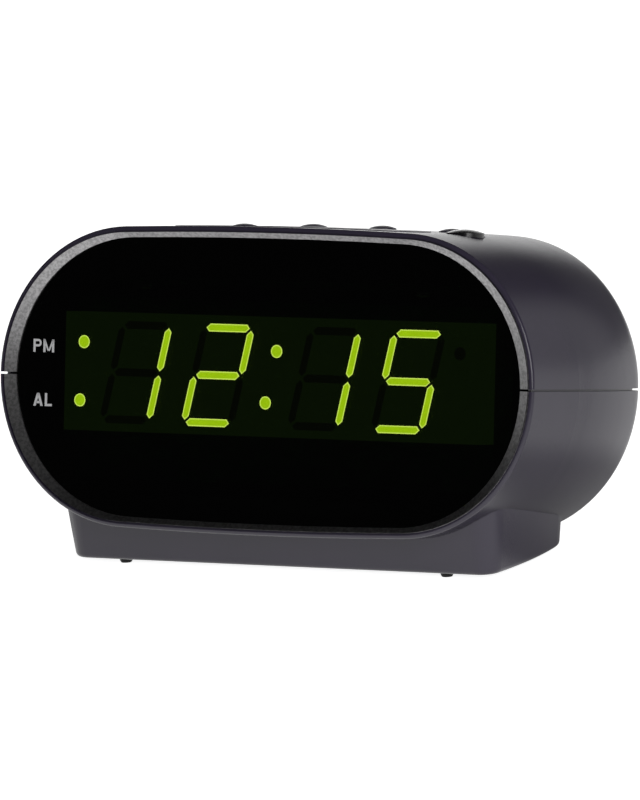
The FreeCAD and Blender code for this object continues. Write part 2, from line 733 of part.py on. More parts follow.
def colon_dots():
    """The two dots between hours and minutes, on the digits' slant."""
    shift = COLON_SPREAD * math.tan(math.radians(DIGIT_SLANT))
    return [dot_pipe(COLON_X + side * shift, side * COLON_SPREAD) for side in (-1, 1)]


def light_pipes():
    """Lit and unlit light pipes, as two lists of solids."""
    lit = colon_dots()
    lit += [dot_pipe(DOT_X + side * DOT_LEAN, side * DOT_SPREAD) for side in (-1, 1)]
    unlit = [dot_pipe(SPARE_DOT_X, DOT_SPREAD)]
    for centre_x, shown in zip(DIGIT_CENTRES, SHOWN):
        for name, corners in digit_strokes().items():
            pipe = light_pipe(corners, centre_x)
            (lit if name in shown else unlit).append(pipe)
    return lit, unlit


def display_housing(pipes):
    """Block that holds the light pipes, with a hollow back for the LEDs."""
    half = MODULE_WIDTH / 2
    low = DIGIT_MIDDLE - MODULE_HEIGHT / 2
    high = DIGIT_MIDDLE + MODULE_HEIGHT / 2
    body = block(-half, half, DISPLAY_Y, BOARD_Y, low, high)
    hollow = block(-half + WALL, half - WALL, DISPLAY_Y + PIPE_DEPTH, BOARD_Y,
                   low + WALL, high - WALL)
    return body.cut([hollow] + pipes)


# ---------------------------------------------------------------------- boards
def main_board():
    """Upright board behind the display."""
    board = block(-MAIN_HALF_WIDTH, MAIN_HALF_WIDTH, BOARD_Y, BOARD_BACK, MAIN_BOTTOM, MAIN_TOP)
    flat = [e for e in board.Edges if abs(e.tangentAt(e.FirstParameter).y) > 0.99]
    board = board.makeChamfer(SLOT_REACH, flat)
    return lean_back(board)


def clock_chip():
    """Long chip on the board's rear face, with two rows of pins."""
    length, thickness, height = CHIP
    x, z = CHIP_AT
    y0 = BOARD_BACK + CHIP_LIFT
    parts = [block(x - length / 2, x + length / 2, y0, y0 + thickness,
                   z - height / 2, z + height / 2)]
    count = int(length / PIN_PITCH)
    for i in range(count):
        pin_x = x + (i - (count - 1) / 2) * PIN_PITCH
        for side in (-1, 1):
            z0 = z + side * (height / 2 + PIN_DEPTH * 0.4)
            parts.append(block(pin_x - PIN_WIDTH / 2, pin_x + PIN_WIDTH / 2, BOARD_BACK,
                               BOARD_BACK + PIN_SHOULDER, z0 - PIN_DEPTH / 2, z0 + PIN_DEPTH / 2))
    return lean_back(fused(parts))


def capacitors():
    """Electrolytic cans standing on the board's rear face."""
    cans = []
    for x, z, radius, height in CAPACITORS:
        can = Part.makeCylinder(radius, height, Vec(x, BOARD_BACK, z), INWARD)
        groove = Part.makeTorus(radius + CAN_BEAD_OUT, CAN_BEAD_R,
                                Vec(x, BOARD_BACK + CAN_BEAD, z), INWARD)
        cans.append(lean_back(can.cut(groove)))
    return Part.makeCompound(cans)


def buzzer():
    """Round sounder with its hole in the middle."""
    x = MAIN_HALF_WIDTH - BUZZER_END
    z = BUZZER_Z
    body = Part.makeCylinder(BUZZER_R, BUZZER_HEIGHT, Vec(x, BOARD_BACK, z), INWARD)
    hole = Part.makeCylinder(BUZZER_HOLE_R, BUZZER_HEIGHT, Vec(x, BOARD_BACK + BUZZER_BASE, z),
                             INWARD)
    return lean_back(body.cut(hole))


def switch_spots():
    """Places of the seven key switches on their board."""
    spots = [(-BAR_STEM_SPREAD, BAR_Y), (BAR_STEM_SPREAD, BAR_Y), (DOME_X, DOME_Y)]
    return spots + [(x, SET_KEY_Y) for x in SET_KEYS.values()]


def button_board():
    """Level board under the keys, notched round the case bosses."""
    level = KEY_BOARD_LEVEL
    left = min(x for x, y in BOARD_POSTS) - KEY_BOARD_EDGE
    front = min(DOME_Y, BAR_Y) - KEY_BOARD_LEAD
    rear = max(y for x, y in BOARD_POSTS) + KEY_BOARD_EDGE
    board = block(left, DOME_X + KEY_BOARD_END, front, rear, level, level + BOARD)
    hole_r = BOARD_SCREW_R + BOARD_HOLE_GAP
    cuts = [post(x, y, level - 1, level + BOARD + 1, hole_r) for x, y in BOARD_POSTS]
    for x, y in (BOSS_FRONT, BOSS_REAR):
        for side in (-1, 1):
            cuts.append(post(side * x, y, level - 1, level + BOARD + 1, BOSS_R + BOARD_NOTCH_GAP))
    return lean_back(board.cut(cuts))


def key_switches():
    """Seven tact switches: square body and round plunger."""
    level = KEY_BOARD_LEVEL + BOARD
    half = SWITCH_SIDE / 2
    switches = []
    for x, y in switch_spots():
        body = block(x - half, x + half, y - half, y + half, level, SWITCH_TOP)
        plunger = post(x, y, SWITCH_TOP, PLUNGER_TOP, PLUNGER_R)
        switches.append(lean_back(fused([body, plunger])))
    return Part.makeCompound(switches)


def ribbon_cable():
    """Flat cable from the back of the main board up to the key board."""
    half = RIBBON_WIDTH / 2
    thick = RIBBON_THICKNESS
    low = MAIN_TOP - RIBBON_DROP
    bend = RIBBON_BEND
    y0 = BOARD_BACK
    top = KEY_BOARD_LEVEL
    y1 = y0 + 2 * bend + thick
    foot = block(RIBBON_X - half, RIBBON_X + half, y0, y0 + bend, low, low + thick)
    riser = block(RIBBON_X - half, RIBBON_X + half, y0 + bend, y0 + bend + thick, low, top - bend)
    head = block(RIBBON_X - half, RIBBON_X + half, y0 + bend, y1, top - bend, top - bend + thick)
    rise = block(RIBBON_X - half, RIBBON_X + half, y1 - thick, y1, top - bend, top)
    return lean_back(fused([foot, riser, head, rise]))


# ---------------------------------------------------------------- transformer
def transformer_core():
    """Laminated core with its mounting plate."""
    width, depth, height = CORE
    x, y = CORE_AT
    base = CORE_FLOOR + CORE_PLATE
    body = block(x - width / 2, x + width / 2, y - depth / 2, y + depth / 2, base, base + height)
    limb = CORE_LIMB
    windows = []
    for side in (-1, 1):
        centre = x + side * (width / 4)
        gap = width / 4 - limb * 0.75
        windows.append(block(centre - gap, centre + gap, y - depth, y + depth,
                             base + limb, base + height - limb))
    plate_half = width / 2 + CORE_FLANGE
    plate = block(x - plate_half, x + plate_half, y - depth / 2, y + depth / 2,
                  CORE_FLOOR, base)
    spread = width / 2 + CORE_FLANGE / 2
    holes = [post(x + side * spread, y, CORE_FLOOR - 1, base + 1, CORE_SCREW_R + CORE_HOLE_GAP)
             for side in (-1, 1)]
    return lean_back(fused([body.cut(windows), plate]).cut(holes))


def transformer_coil():
    """Winding round the core's middle limb."""
    width, depth, height = CORE
    x, y = CORE_AT
    base = CORE_FLOOR + CORE_PLATE + CORE_LIMB
    inner_half = width / 4 - (width / 4 - CORE_LIMB * 0.75)
    outer_half = width / 4 + (width / 4 - CORE_LIMB * 0.75)
    play = COIL_PLAY
    y_out = depth / 2 + COIL_BULGE
    top = base + height - 2 * CORE_LIMB
    outer = block(x - outer_half + play, x + outer_half - play, y - y_out, y + y_out,
                  base + play, top - play)
    upright = [e for e in outer.Edges if abs(e.tangentAt(e.FirstParameter).z) > 0.99]
    outer = outer.makeFillet(COIL_BULGE * COIL_ROUNDING, upright)
    inner = block(x - inner_half - play, x + inner_half + play, y - depth / 2 - play,
                  y + depth / 2 + play, base - 1, top + 1)
    return lean_back(outer.cut(inner))


# ------------------------------------------------------------------- fasteners
def pan_screw(x, y, seat, reach, radius, head_r, head_h, down):
    """Pan-head screw in the case frame; down says which way its shank points."""
    sign = -1 if down else 1
    shank = post(x, y, min(seat, seat + sign * reach), max(seat, seat + sign * reach), radius)
    head = post(x, y, min(seat, seat - sign * head_h), max(seat, seat - sign * head_h), head_r)
    rim_z = seat - sign * head_h
    rim = [e for e in head.Edges if abs(e.CenterOfMass.z - rim_z) < 1e-6 and e.Closed]
    head = head.makeFillet(head_h * HEAD_ROUNDING, rim)
    arm = head_r * CROSS_REACH
    cross = []
    for half_x, half_y in ((arm, CROSS_WIDTH / 2), (CROSS_WIDTH / 2, arm)):
        cross.append(block(x - half_x, x + half_x, y - half_y, y + half_y,
                           rim_z - head_h * CROSS_DEPTH, rim_z + head_h * CROSS_DEPTH))
    return fused([shank, head]).cut(cross)


def case_screws():
    """Four screws that draw the halves together from below."""
    screws = []
    for x, y in (BOSS_FRONT, BOSS_REAR):
        for side in (-1, 1):
            screw = pan_screw(side * x, y, -SCREW_SEAT, SCREW_SEAT + SCREW_REACH, SCREW_R,
                              SCREW_HEAD_R, SCREW_HEAD_HEIGHT, False)
            screws.append(lean_back(screw))
    return Part.makeCompound(screws)


def board_screws():
    """Screws of the key board, driven from below into its posts."""
    screws = []
    for x, y in BOARD_POSTS:
        screw = pan_screw(x, y, KEY_BOARD_LEVEL, BOARD_SCREW_REACH, BOARD_SCREW_R,
                          BOARD_SCREW_HEAD_R, BOARD_SCREW_HEAD, False)
        screws.append(lean_back(screw))
    return Part.makeCompound(screws)


def transformer_screws():
    """Two screws through the core's plate into its posts."""
    spread = CORE[0] / 2 + CORE_FLANGE / 2
    x, y = CORE_AT
    screws = []
    for side in (-1, 1):
        screw = pan_screw(x + side * spread, y, CORE_FLOOR + CORE_PLATE, CORE_SCREW_REACH,
                          CORE_SCREW_R, SCREW_HEAD_R, SCREW_HEAD_HEIGHT, True)
        screws.append(lean_back(screw))
    return Part.makeCompound(screws)


# ------------------------------------------------------------------------ keys
def key_cap(outline, proud):
    """Solid key: outline(grow) prism under the offset case skin, with a lip below."""
    skin = shell_solid(-proud)
    lip_top = shell_solid(WALL + KEY_PLAY)
    lip_bottom = shell_solid(WALL + KEY_PLAY + KEY_LIP_THICKNESS)
    body = outline(0).common(skin).cut(lip_bottom)
    lip = outline(KEY_LIP).common(lip_top).cut(lip_bottom)
    return fused([body, lip])


def snooze_bar():
    """Long bar: hollow moulded cap, lip under the wall and two stems."""
    def outline(grow):
        return rounded_prism(0, BAR_Y, BAR_LENGTH + 2 * grow, BAR_DEPTH + 2 * grow,
                             BAR_CORNER_R + grow, KEY_BOARD_LEVEL, CASE_HEIGHT)

    cap = key_cap(outline, BAR_PROUD)
    hollow = outline(-KEY_WALL).common(shell_solid(KEY_WALL - BAR_PROUD))
    cap = cap.cut(hollow)
    stems = []
    for side in (-1, 1):
        stem = post(side * BAR_STEM_SPREAD, BAR_Y, STEM_BOTTOM, CASE_HEIGHT, STEM_R)
        rib = block(side * BAR_STEM_SPREAD - BAR_RIB / 2, side * BAR_STEM_SPREAD + BAR_RIB / 2,
                    BAR_Y - BAR_DEPTH / 2 + BAR_RIB_END, BAR_Y + BAR_DEPTH / 2 - BAR_RIB_END,
                    SWITCH_TOP + KEY_TRAVEL + BAR_RIB_ROOM, CASE_HEIGHT)
        stems.append(stem.common(shell_solid(0)))
        stems.append(rib.common(shell_solid(0)))
    return lean_back(fused([cap] + stems))


def round_key(x, y, radius, proud):
    """Round key: domed cap, lip and stem, turned about its own axis."""
    surface = top_level(x, y)
    lip_top = lip_level(x, y, radius + KEY_LIP)
    rim = surface + proud * KEY_SHOULDER
    crown = surface + proud
    rise = crown - rim
    dome_r = (radius ** 2 + rise ** 2) / (2 * rise)
    body = post(x, y, lip_top - KEY_LIP_THICKNESS, rim, radius)
    dome = Part.makeSphere(dome_r, Vec(x, y, crown - dome_r))
    dome = dome.common(post(x, y, rim - 0.01, crown + 1, radius))
    lip = post(x, y, lip_top - KEY_LIP_THICKNESS, lip_top, radius + KEY_LIP)
    stem = post(x, y, STEM_BOTTOM, lip_top, STEM_R)
    return lean_back(fused([body, dome, lip, stem]))


def surface_level(x, y, offset):
    """Height of the case's top surface, moved inwards by offset, over x and y."""
    half_w, half_h, end_r = section(y, offset)
    end, crown = oval_arcs(half_w, half_h, end_r)[:2]
    (middle, low), radius = (crown if abs(x) <= end[0][0] else end)[:2]
    return low + math.sqrt(radius ** 2 - (abs(x) - middle) ** 2)


def top_level(x, y):
    """Height of the case's top over x and y."""
    return surface_level(x, y, 0)


def lip_level(x, y, reach):
    """Highest level at which a flat lip of this radius stays under the wall."""
    lows = [surface_level(abs(x) + reach, y + reach, WALL),
            surface_level(abs(x) + reach, y - reach, WALL),
            surface_level(x, y + reach, WALL)]
    return min(lows) - KEY_PLAY


# ----------------------------------------------------------------- battery bay
def cell_rows():
    """Middle of each cell: room-frame y, and which way its nub points."""
    first = BAY_Y + DOOR_LEDGE + BAY_SIDE_ROOM + CELL_R
    return {"front_cell": (first, 1), "rear_cell": (first + 2 * CELL_R + CELL_PLAY, -1)}


def cell(y, side):
    """Round cell lying along x, its positive nub towards side."""
    z = BAY_FLOOR + CELL_R + CELL_PLAY
    length = CELL_LENGTH - CELL_NUB_LENGTH
    middle = -side * CELL_NUB_LENGTH / 2
    can = Part.makeCylinder(CELL_R, length, Vec(middle - length / 2, y, z), EAST)
    can = can.makeFillet(CELL_EDGE_R, [e for e in can.Edges if e.Closed])
    x0 = middle + side * length / 2
    nub = Part.makeCylinder(CELL_NUB_R, CELL_NUB_LENGTH, Vec(x0, y, z), EAST * side)
    return fused([can, nub])


def battery_springs():
    """Conical coil contacts, each on its plate, at the cells' flat ends."""
    z = BAY_FLOOR + CELL_R + CELL_PLAY
    springs = []
    for y, side in cell_rows().values():
        wall_x = -side * BAY_HALF_LENGTH
        cell_x = -side * CELL_LENGTH / 2
        plate = contact_plate(wall_x, y, z, side)
        length = abs(wall_x - cell_x) - PLATE_THICKNESS
        springs.append(fused([plate, spring_coil(wall_x + side * PLATE_THICKNESS, y, z, side, length)]))
    return Part.makeCompound(springs)


def spring_coil(x, y, z, side, length):
    """Wire coil that narrows from its plate to the cell."""
    rise = length - SPRING_WIRE_R
    pitch = rise / SPRING_TURNS
    path = Part.makeHelix(pitch, rise, SPRING_COIL_R, -SPRING_CONE)
    ring = Part.makeCircle(SPRING_WIRE_R, Vec(SPRING_COIL_R, 0, 0), INWARD)
    coil = Part.Wire(path.Edges).makePipeShell([Part.Wire([ring])], True, True)
    turn = FreeCAD.Rotation(UP, EAST * side)
    coil.transformShape(FreeCAD.Placement(Vec(x, y, z), turn).toMatrix())
    return coil


def contact_plate(wall_x, y, z, side):
    """Sheet-metal plate against the end wall of the bay."""
    x1 = wall_x + side * PLATE_THICKNESS
    half = PLATE_SIZE / 2
    return block(min(wall_x, x1), max(wall_x, x1), y - half, y + half, z - half, z + half)


def battery_plates():
    """Flat contacts at the cells' nubs, with a bowed middle."""
    z = BAY_FLOOR + CELL_R + CELL_PLAY
    plates = []
    for y, side in cell_rows().values():
        wall_x = side * BAY_HALF_LENGTH
        plate = contact_plate(wall_x, y, z, -side)
        reach = BAY_HALF_LENGTH - CELL_LENGTH / 2
        bump = Part.makeCylinder(PLATE_BUMP_R, reach, Vec(wall_x, y, z), EAST * -side)
        plates.append(fused([plate, bump]))
    return Part.makeCompound(plates)


def battery_door():
    """Door under the plinth: plate, two hooking tongues, latch leaf and finger grip."""
    length, front, back = door_size(DOOR_GAP)
    low = UNDERSIDE - DOOR_PROUD
    high = low + DOOR_THICKNESS
    plate = rounded_prism(0, (front + back) / 2, length, back - front, DOOR_CORNER_R, low, high)
    sole = [e for e in plate.Edges
            if abs(e.CenterOfMass.z - low) < 1e-6]
    plate = plate.makeFillet(DOOR_PROUD * 0.5, sole)
    leaf_back = back - DOOR_GAP
    leaf = block(-LATCH_WIDTH / 2, LATCH_WIDTH / 2, leaf_back - LATCH_THICKNESS, leaf_back,
                 high - 0.1, high + LATCH_HEIGHT)
    pieces = [plate, leaf]
    tongue_z = BAY_FLOOR + TONGUE_PLAY
    for side in (-1, 1):
        x0 = side * TONGUE_SPREAD - TONGUE_WIDTH / 2
        tongue = block(x0, x0 + TONGUE_WIDTH, front - TONGUE_REACH, front + TONGUE_ROOT,
                       tongue_z, tongue_z + TONGUE_THICKNESS)
        neck = block(x0, x0 + TONGUE_WIDTH, front, front + TONGUE_ROOT, high - 0.1,
                     tongue_z + TONGUE_THICKNESS)
        pieces += [tongue, neck]
    door = fused(pieces)
    grip = rounded_prism(0, back - GRIP_DEPTH, GRIP_WIDTH, GRIP_LENGTH, GRIP_CORNER_R,
                         low - 1, low + GRIP_CUT)
    return door.cut(grip)


# ---------------------------------------------------------------- rubber pieces
def foot(x, y):
    """Rubber bump with a peg that plugs into the plinth's floor."""
    dome = Part.makeSphere(FOOT_R, Vec(x, y, UNDERSIDE))
    dome = dome.common(post(x, y, 0, UNDERSIDE, FOOT_R))
    peg = post(x, y, UNDERSIDE, UNDERSIDE + WALL + FOOT_PEG_END, FOOT_PEG_R)
    return fused([dome, peg])


def cord_gland():
    """Rubber bush on the parting line, clamped by both halves."""
    back = CASE_DEPTH
    neck = Part.makeCylinder(GLAND_HOLE_R - GLAND_PLAY, WALL, Vec(GLAND_X, back - WALL, 0), INWARD)
    outside = Part.makeCylinder(GLAND_FLANGE_R, GLAND_FLANGE, Vec(GLAND_X, back, 0), INWARD)
    rim = [e for e in outside.Edges if e.Closed and e.CenterOfMass.y > back + 0.1]
    outside = outside.makeFillet(GLAND_FLANGE * 0.5, rim)
    inside = Part.makeCylinder(GLAND_FLANGE_R, GLAND_FLANGE,
                               Vec(GLAND_X, back - WALL - GLAND_FLANGE, 0), INWARD)
    bore = Part.makeCylinder(GLAND_BORE_R, CASE_DEPTH, Vec(GLAND_X, back / 2, 0), INWARD)
    return lean_back(fused([neck, outside, inside]).cut(bore))


# --------------------------------------------------------------------- assembly
def build():
    """All nodes by name."""
    lit, unlit = light_pipes()
    nodes = {
        "upper_case": upper_case(),
        "lower_case": lower_case(),
        "display_lens": display_lens(),
        "display_housing": lean_back(display_housing(lit + unlit)),
        "lit_segments": Part.makeCompound([lean_back(pipe) for pipe in lit]),
        "unlit_segments": Part.makeCompound([lean_back(pipe) for pipe in unlit]),
        "main_board": main_board(),
        "clock_chip": clock_chip(),
        "capacitors": capacitors(),
        "buzzer": buzzer(),
        "button_board": button_board(),
        "key_switches": key_switches(),
        "ribbon_cable": ribbon_cable(),
        "transformer_core": transformer_core(),
        "transformer_coil": transformer_coil(),
        "case_screws": case_screws(),
        "board_screws": board_screws(),
        "transformer_screws": transformer_screws(),
        "cord_gland": cord_gland(),
        "battery_springs": battery_springs(),
        "battery_plates": battery_plates(),
        "battery_door": battery_door(),
        "snooze_bar": snooze_bar(),
        "alarm_button": round_key(DOME_X, DOME_Y, DOME_R, DOME_PROUD),
    }
    for name, x in SET_KEYS.items():
        nodes[name] = round_key(x, SET_KEY_Y, SET_KEY_R, SET_KEY_PROUD)
    for name, (y, side) in cell_rows().items():
        nodes[name] = cell(y, side)
    for name, (x, y) in foot_spots().items():
        nodes[name] = foot(x, y)
    return nodes


def main():
    os.makedirs("parts", exist_ok=True)
    for name, shape in build().items():
        shape.exportStep(os.path.join("parts", name + ".step"))


main()
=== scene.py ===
"""Looks of a small LED alarm clock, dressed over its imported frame.

The frame brings every rigid piece of the clock at its real size. This script
gives each of them a finish, adds the faces of the lit strokes and the two
printed legends, and sets up a plain pale studio. Everything is in metres, with
+Z up, +X to the right and the display towards -Y.

Two frames are used. The room frame is the one above. The case frame leans with
the clock: its origin is the middle of the bezel's front, y runs into the case
and z runs up the display.
"""

import logging
import math
from dataclasses import dataclass, field, replace
from enum import Enum

import bpy
import numpy as np
from mathutils import Matrix, Vector


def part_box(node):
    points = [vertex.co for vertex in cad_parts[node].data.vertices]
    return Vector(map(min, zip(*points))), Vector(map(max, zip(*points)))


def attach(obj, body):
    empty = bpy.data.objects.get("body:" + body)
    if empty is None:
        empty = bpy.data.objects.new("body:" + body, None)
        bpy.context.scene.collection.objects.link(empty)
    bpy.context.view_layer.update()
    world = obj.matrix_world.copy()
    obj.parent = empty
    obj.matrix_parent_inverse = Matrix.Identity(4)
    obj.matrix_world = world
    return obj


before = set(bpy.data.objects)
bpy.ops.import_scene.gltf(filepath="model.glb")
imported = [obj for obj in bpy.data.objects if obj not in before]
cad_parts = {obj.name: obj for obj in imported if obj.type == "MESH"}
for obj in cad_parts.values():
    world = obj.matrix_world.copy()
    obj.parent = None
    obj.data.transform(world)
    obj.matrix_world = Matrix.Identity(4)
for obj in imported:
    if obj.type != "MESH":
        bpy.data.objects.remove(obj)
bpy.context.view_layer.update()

LOG = logging.getLogger("clock")
MM = 0.001
Colour = tuple[float, float, float]


# ------------------------------------------------------------------ node wiring
class Wiring:
    """Adds nodes and links to one node tree."""

    def __init__(self, tree: bpy.types.NodeTree) -> None:
        """Keeps the tree.

        Args:
            tree: node tree of a material, a world or a group.
        """
        self.tree = tree

    def add(self, kind: str, settings: dict | None = None, **sockets: object) -> bpy.types.Node:
        """Adds a node.

        Args:
            kind: Blender's name of the node type.
            settings: attributes to set on the node.
            sockets: input values or sockets to link, by name with spaces as underscores.

        Returns:
            The new node.
        """
        node = self.tree.nodes.new(kind)
        for name, value in (settings or {}).items():
            setattr(node, name, value)
        for name, value in sockets.items():
            self.feed(node.inputs[name.replace("_", " ")], value)
        return node

    def feed(self, socket: bpy.types.NodeSocket, value: object) -> None:
        """Links an output to a socket, or sets the socket's own value.

        Args:
            socket: input to feed.
            value: an output to link, or a number, vector or colour.
        """
        if isinstance(value, bpy.types.NodeSocket):
            self.tree.links.new(value, socket)
        elif isinstance(value, tuple) and len(value) == 3 and socket.type == "RGBA":
            socket.default_value = (*value, 1.0)
        else:
            socket.default_value = value

    def place(self) -> bpy.types.NodeSocket:
        """Adds the object coordinates, which are the room's while the clock rests."""
        return self.add("ShaderNodeTexCoord").outputs["Object"]

    def axes(self, vector: object) -> tuple[bpy.types.NodeSocket, ...]:
        """Splits a vector into its x, y and z."""
        return tuple(self.add("ShaderNodeSeparateXYZ", Vector=vector).outputs)

    def maths(self, operation: str, first: object,
              second: object = 0.0) -> bpy.types.NodeSocket:
        """Adds a Math node.

        Args:
            operation: Blender's name of the operation.
            first: first value or socket.
            second: second value or socket, where the operation has one.

        Returns:
            The node's output.
        """
        node = self.add("ShaderNodeMath", {"operation": operation})
        for socket, value in zip(node.inputs, (first, second)):
            self.feed(socket, value)
        return node.outputs[0]

    def vectors(self, operation: str, *values: object) -> bpy.types.Node:
        """Adds a Vector Math node.

        Args:
            operation: Blender's name of the operation.
            values: vectors or sockets, in the order of the node's inputs.

        Returns:
            The node, whose answer is on its Vector or its Value output.
        """
        node = self.add("ShaderNodeVectorMath", {"operation": operation})
        for socket, value in zip(node.inputs, values):
            self.feed(socket, value)
        return node

    def ramp(self, value: object, low: float, high: float, start: float = 0.0,
             stop: float = 1.0) -> bpy.types.NodeSocket:
        """Maps low..high of a value smoothly to start..stop.

        Args:
            value: number or socket to map.
            low: value at which the result is start.
            high: value at which the result is stop.
            start: result up to low.
            stop: result from high on.

        Returns:
            Socket with the result.
        """
        node = self.add("ShaderNodeMapRange", {"interpolation_type": "SMOOTHSTEP"})
        for name, number in (("Value", value), ("From Min", low), ("From Max", high),
                             ("To Min", start), ("To Max", stop)):
            self.feed(node.inputs[name], number)
        return node.outputs["Result"]

    def blend(self, share: object, first: object, second: object) -> bpy.types.NodeSocket:
        """Mixes two colours.

        Args:
            share: 0 for the first colour only, 1 for the second only.
            first: first colour or socket.
            second: second colour or socket.

        Returns:
            Socket with the mixed colour.
        """
        node = self.add("ShaderNodeMix", {"data_type": "RGBA"})
        for socket, value in ((node.inputs[0], share), (node.inputs[6], first),
                              (node.inputs[7], second)):
            self.feed(socket, value)
        return node.outputs[2]


def new_group(name: str, inputs: dict[str, tuple[str, object]],
              outputs: dict[str, str]) -> tuple[bpy.types.NodeTree, Wiring]:
    """Makes an empty shader node group.

    Args:
        name: name of the group.
        inputs: socket type and default of each input, by name.
        outputs: socket type of each output, by name.

    Returns:
        The group and a Wiring for it.
    """
    group = bpy.data.node_groups.new(name, "ShaderNodeTree")
    for title, (kind, default) in inputs.items():
        socket = group.interface.new_socket(title, in_out="INPUT", socket_type=kind)
        socket.default_value = default
    for title, kind in outputs.items():
        group.interface.new_socket(title, in_out="OUTPUT", socket_type=kind)
    return group, Wiring(group)


@dataclass
class Effects:
    """The node groups that several finishes share, each built once."""

    pit_smoothness: float = 0.6
    swell_scale: float = 0.28
    swell_roughness: float = 0.6
    flow_roughness: float = 0.55
    flow_distortion: float = 0.4
    flow_edges: tuple[float, float] = (0.35, 0.65)
    speck_edges: tuple[float, float] = (0.06, 0.12)
    upward_edges: tuple[float, float] = (0.5, 0.95)

    def __post_init__(self) -> None:
        """Builds the groups."""
        self.grain = self._grain()
        self.drift = self._drift()
        self.dust = self._dust()

    def _grain(self) -> bpy.types.NodeTree:
        """Mould grain: fine pits of one size, mixed with a softer swell of larger scale.

        Returns:
            A group with a height for a Bump node.
        """
        group, wiring = new_group(
            "mould_grain",
            {"Grain": ("NodeSocketFloat", 4000.0), "Softness": ("NodeSocketFloat", 0.5)},
            {"Height": "NodeSocketFloat"})
        given = wiring.add("NodeGroupInput")
        result = wiring.add("NodeGroupOutput")
        place = wiring.place()
        pits = wiring.add("ShaderNodeTexVoronoi", {"feature": "SMOOTH_F1"}, Vector=place,
                          Scale=given.outputs["Grain"], Smoothness=self.pit_smoothness)
        coarse = wiring.maths("MULTIPLY", given.outputs["Grain"], self.swell_scale)
        swell = wiring.add("ShaderNodeTexNoise", Vector=place, Scale=coarse, Detail=3.0,
                           Roughness=self.swell_roughness)
        mixed = wiring.add("ShaderNodeMix", Factor=given.outputs["Softness"],
                           A=pits.outputs["Distance"], B=swell.outputs["Fac"])
        wiring.feed(result.inputs["Height"], mixed.outputs[0])
        return group

    def _drift(self) -> bpy.types.NodeTree:
        """Slow change of colour and gloss over a moulding, from its flow and handling.

        Returns:
            A group with a colour and a roughness.
        """
        group, wiring = new_group(
            "colour_drift",
            {"Colour": ("NodeSocketColor", (0.1, 0.1, 0.1, 1.0)),
             "Second": ("NodeSocketColor", (0.12, 0.12, 0.12, 1.0)),
             "Roughness": ("NodeSocketFloat", 0.5), "Spread": ("NodeSocketFloat", 0.05),
             "Scale": ("NodeSocketFloat", 30.0)},
            {"Colour": "NodeSocketColor", "Roughness": "NodeSocketFloat"})
        given = wiring.add("NodeGroupInput")
        result = wiring.add("NodeGroupOutput")
        flow = wiring.add("ShaderNodeTexNoise", Vector=wiring.place(),
                          Scale=given.outputs["Scale"], Detail=4.0,
                          Roughness=self.flow_roughness,
                          Distortion=self.flow_distortion).outputs["Fac"]
        share = wiring.ramp(flow, *self.flow_edges)
        wiring.feed(result.inputs["Colour"],
                    wiring.blend(share, given.outputs["Colour"], given.outputs["Second"]))
        offset = wiring.maths("MULTIPLY", wiring.maths("SUBTRACT", share, 0.5),
                              given.outputs["Spread"])
        wiring.feed(result.inputs["Roughness"],
                    wiring.maths("ADD", given.outputs["Roughness"], offset))
        return group

    def _dust(self) -> bpy.types.NodeTree:
        """Sparse pale specks that lie on faces that look up.

        Returns:
            A group with a mask of the specks.
        """
        group, wiring = new_group(
            "dust_specks",
            {"Scale": ("NodeSocketFloat", 900.0), "Amount": ("NodeSocketFloat", 0.3)},
            {"Mask": "NodeSocketFloat"})
        given = wiring.add("NodeGroupInput")
        result = wiring.add("NodeGroupOutput")
        specks = wiring.add("ShaderNodeTexVoronoi", {"feature": "F1"}, Vector=wiring.place(),
                            Scale=given.outputs["Scale"], Randomness=1.0)
        spot = wiring.ramp(specks.outputs["Distance"], *self.speck_edges, 1.0, 0.0)
        facing = wiring.axes(wiring.add("ShaderNodeNewGeometry").outputs["Normal"])
        upward = wiring.ramp(facing[2], *self.upward_edges)
        mask = wiring.maths("MULTIPLY", wiring.maths("MULTIPLY", spot, upward),
                            given.outputs["Amount"])
        wiring.feed(result.inputs["Mask"], mask)
        return group


EFFECTS = Effects()


# ------------------------------------------------------------------ case's frame
@dataclass(frozen=True)
class CaseFrame:
    """Where the leaning case stands in the room."""

    lean: float = math.radians(9.2)
    rim: float = 1.4 * MM
    lens_thickness: float = 2.0 * MM

    @property
    def origin(self) -> np.ndarray:
        """Middle of the bezel's front, found from the lens's middle.

        Returns:
            Its place x, y, z in the room frame.
        """
        low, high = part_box("display_lens")
        middle = (np.array(low) + np.array(high)) / 2
        inward = np.array([0.0, math.cos(self.lean), -math.sin(self.lean)])
        return middle - inward * (self.rim + self.lens_thickness / 2)

    def place(self, points: np.ndarray) -> np.ndarray:
        """Turns case-frame points into room-frame points.

        The turn is about X: y' = y cos + z sin and z' = z cos - y sin, then the
        origin is added.

        Args:
            points: array of n rows x, y, z.

        Returns:
            Array of the same shape.
        """
        cosine, sine = math.cos(self.lean), math.sin(self.lean)
        turn = np.array([[1.0, 0.0, 0.0], [0.0, cosine, sine], [0.0, -sine, cosine]])
        return points @ turn.T + self.origin


CASE = CaseFrame()


# --------------------------------------------------------------------- finishes
def blank_material(name: str) -> tuple[bpy.types.Material, Wiring, bpy.types.Node]:
    """Makes a material with one Principled BSDF on its output.

    Args:
        name: name of the material.

    Returns:
        The material, a Wiring for it and its shader.
    """
    material = bpy.data.materials.new(name)
    material.use_nodes = True
    material.node_tree.nodes.clear()
    wiring = Wiring(material.node_tree)
    shader = wiring.add("ShaderNodeBsdfPrincipled")
    wiring.add("ShaderNodeOutputMaterial", Surface=shader.outputs["BSDF"])
    return material, wiring, shader


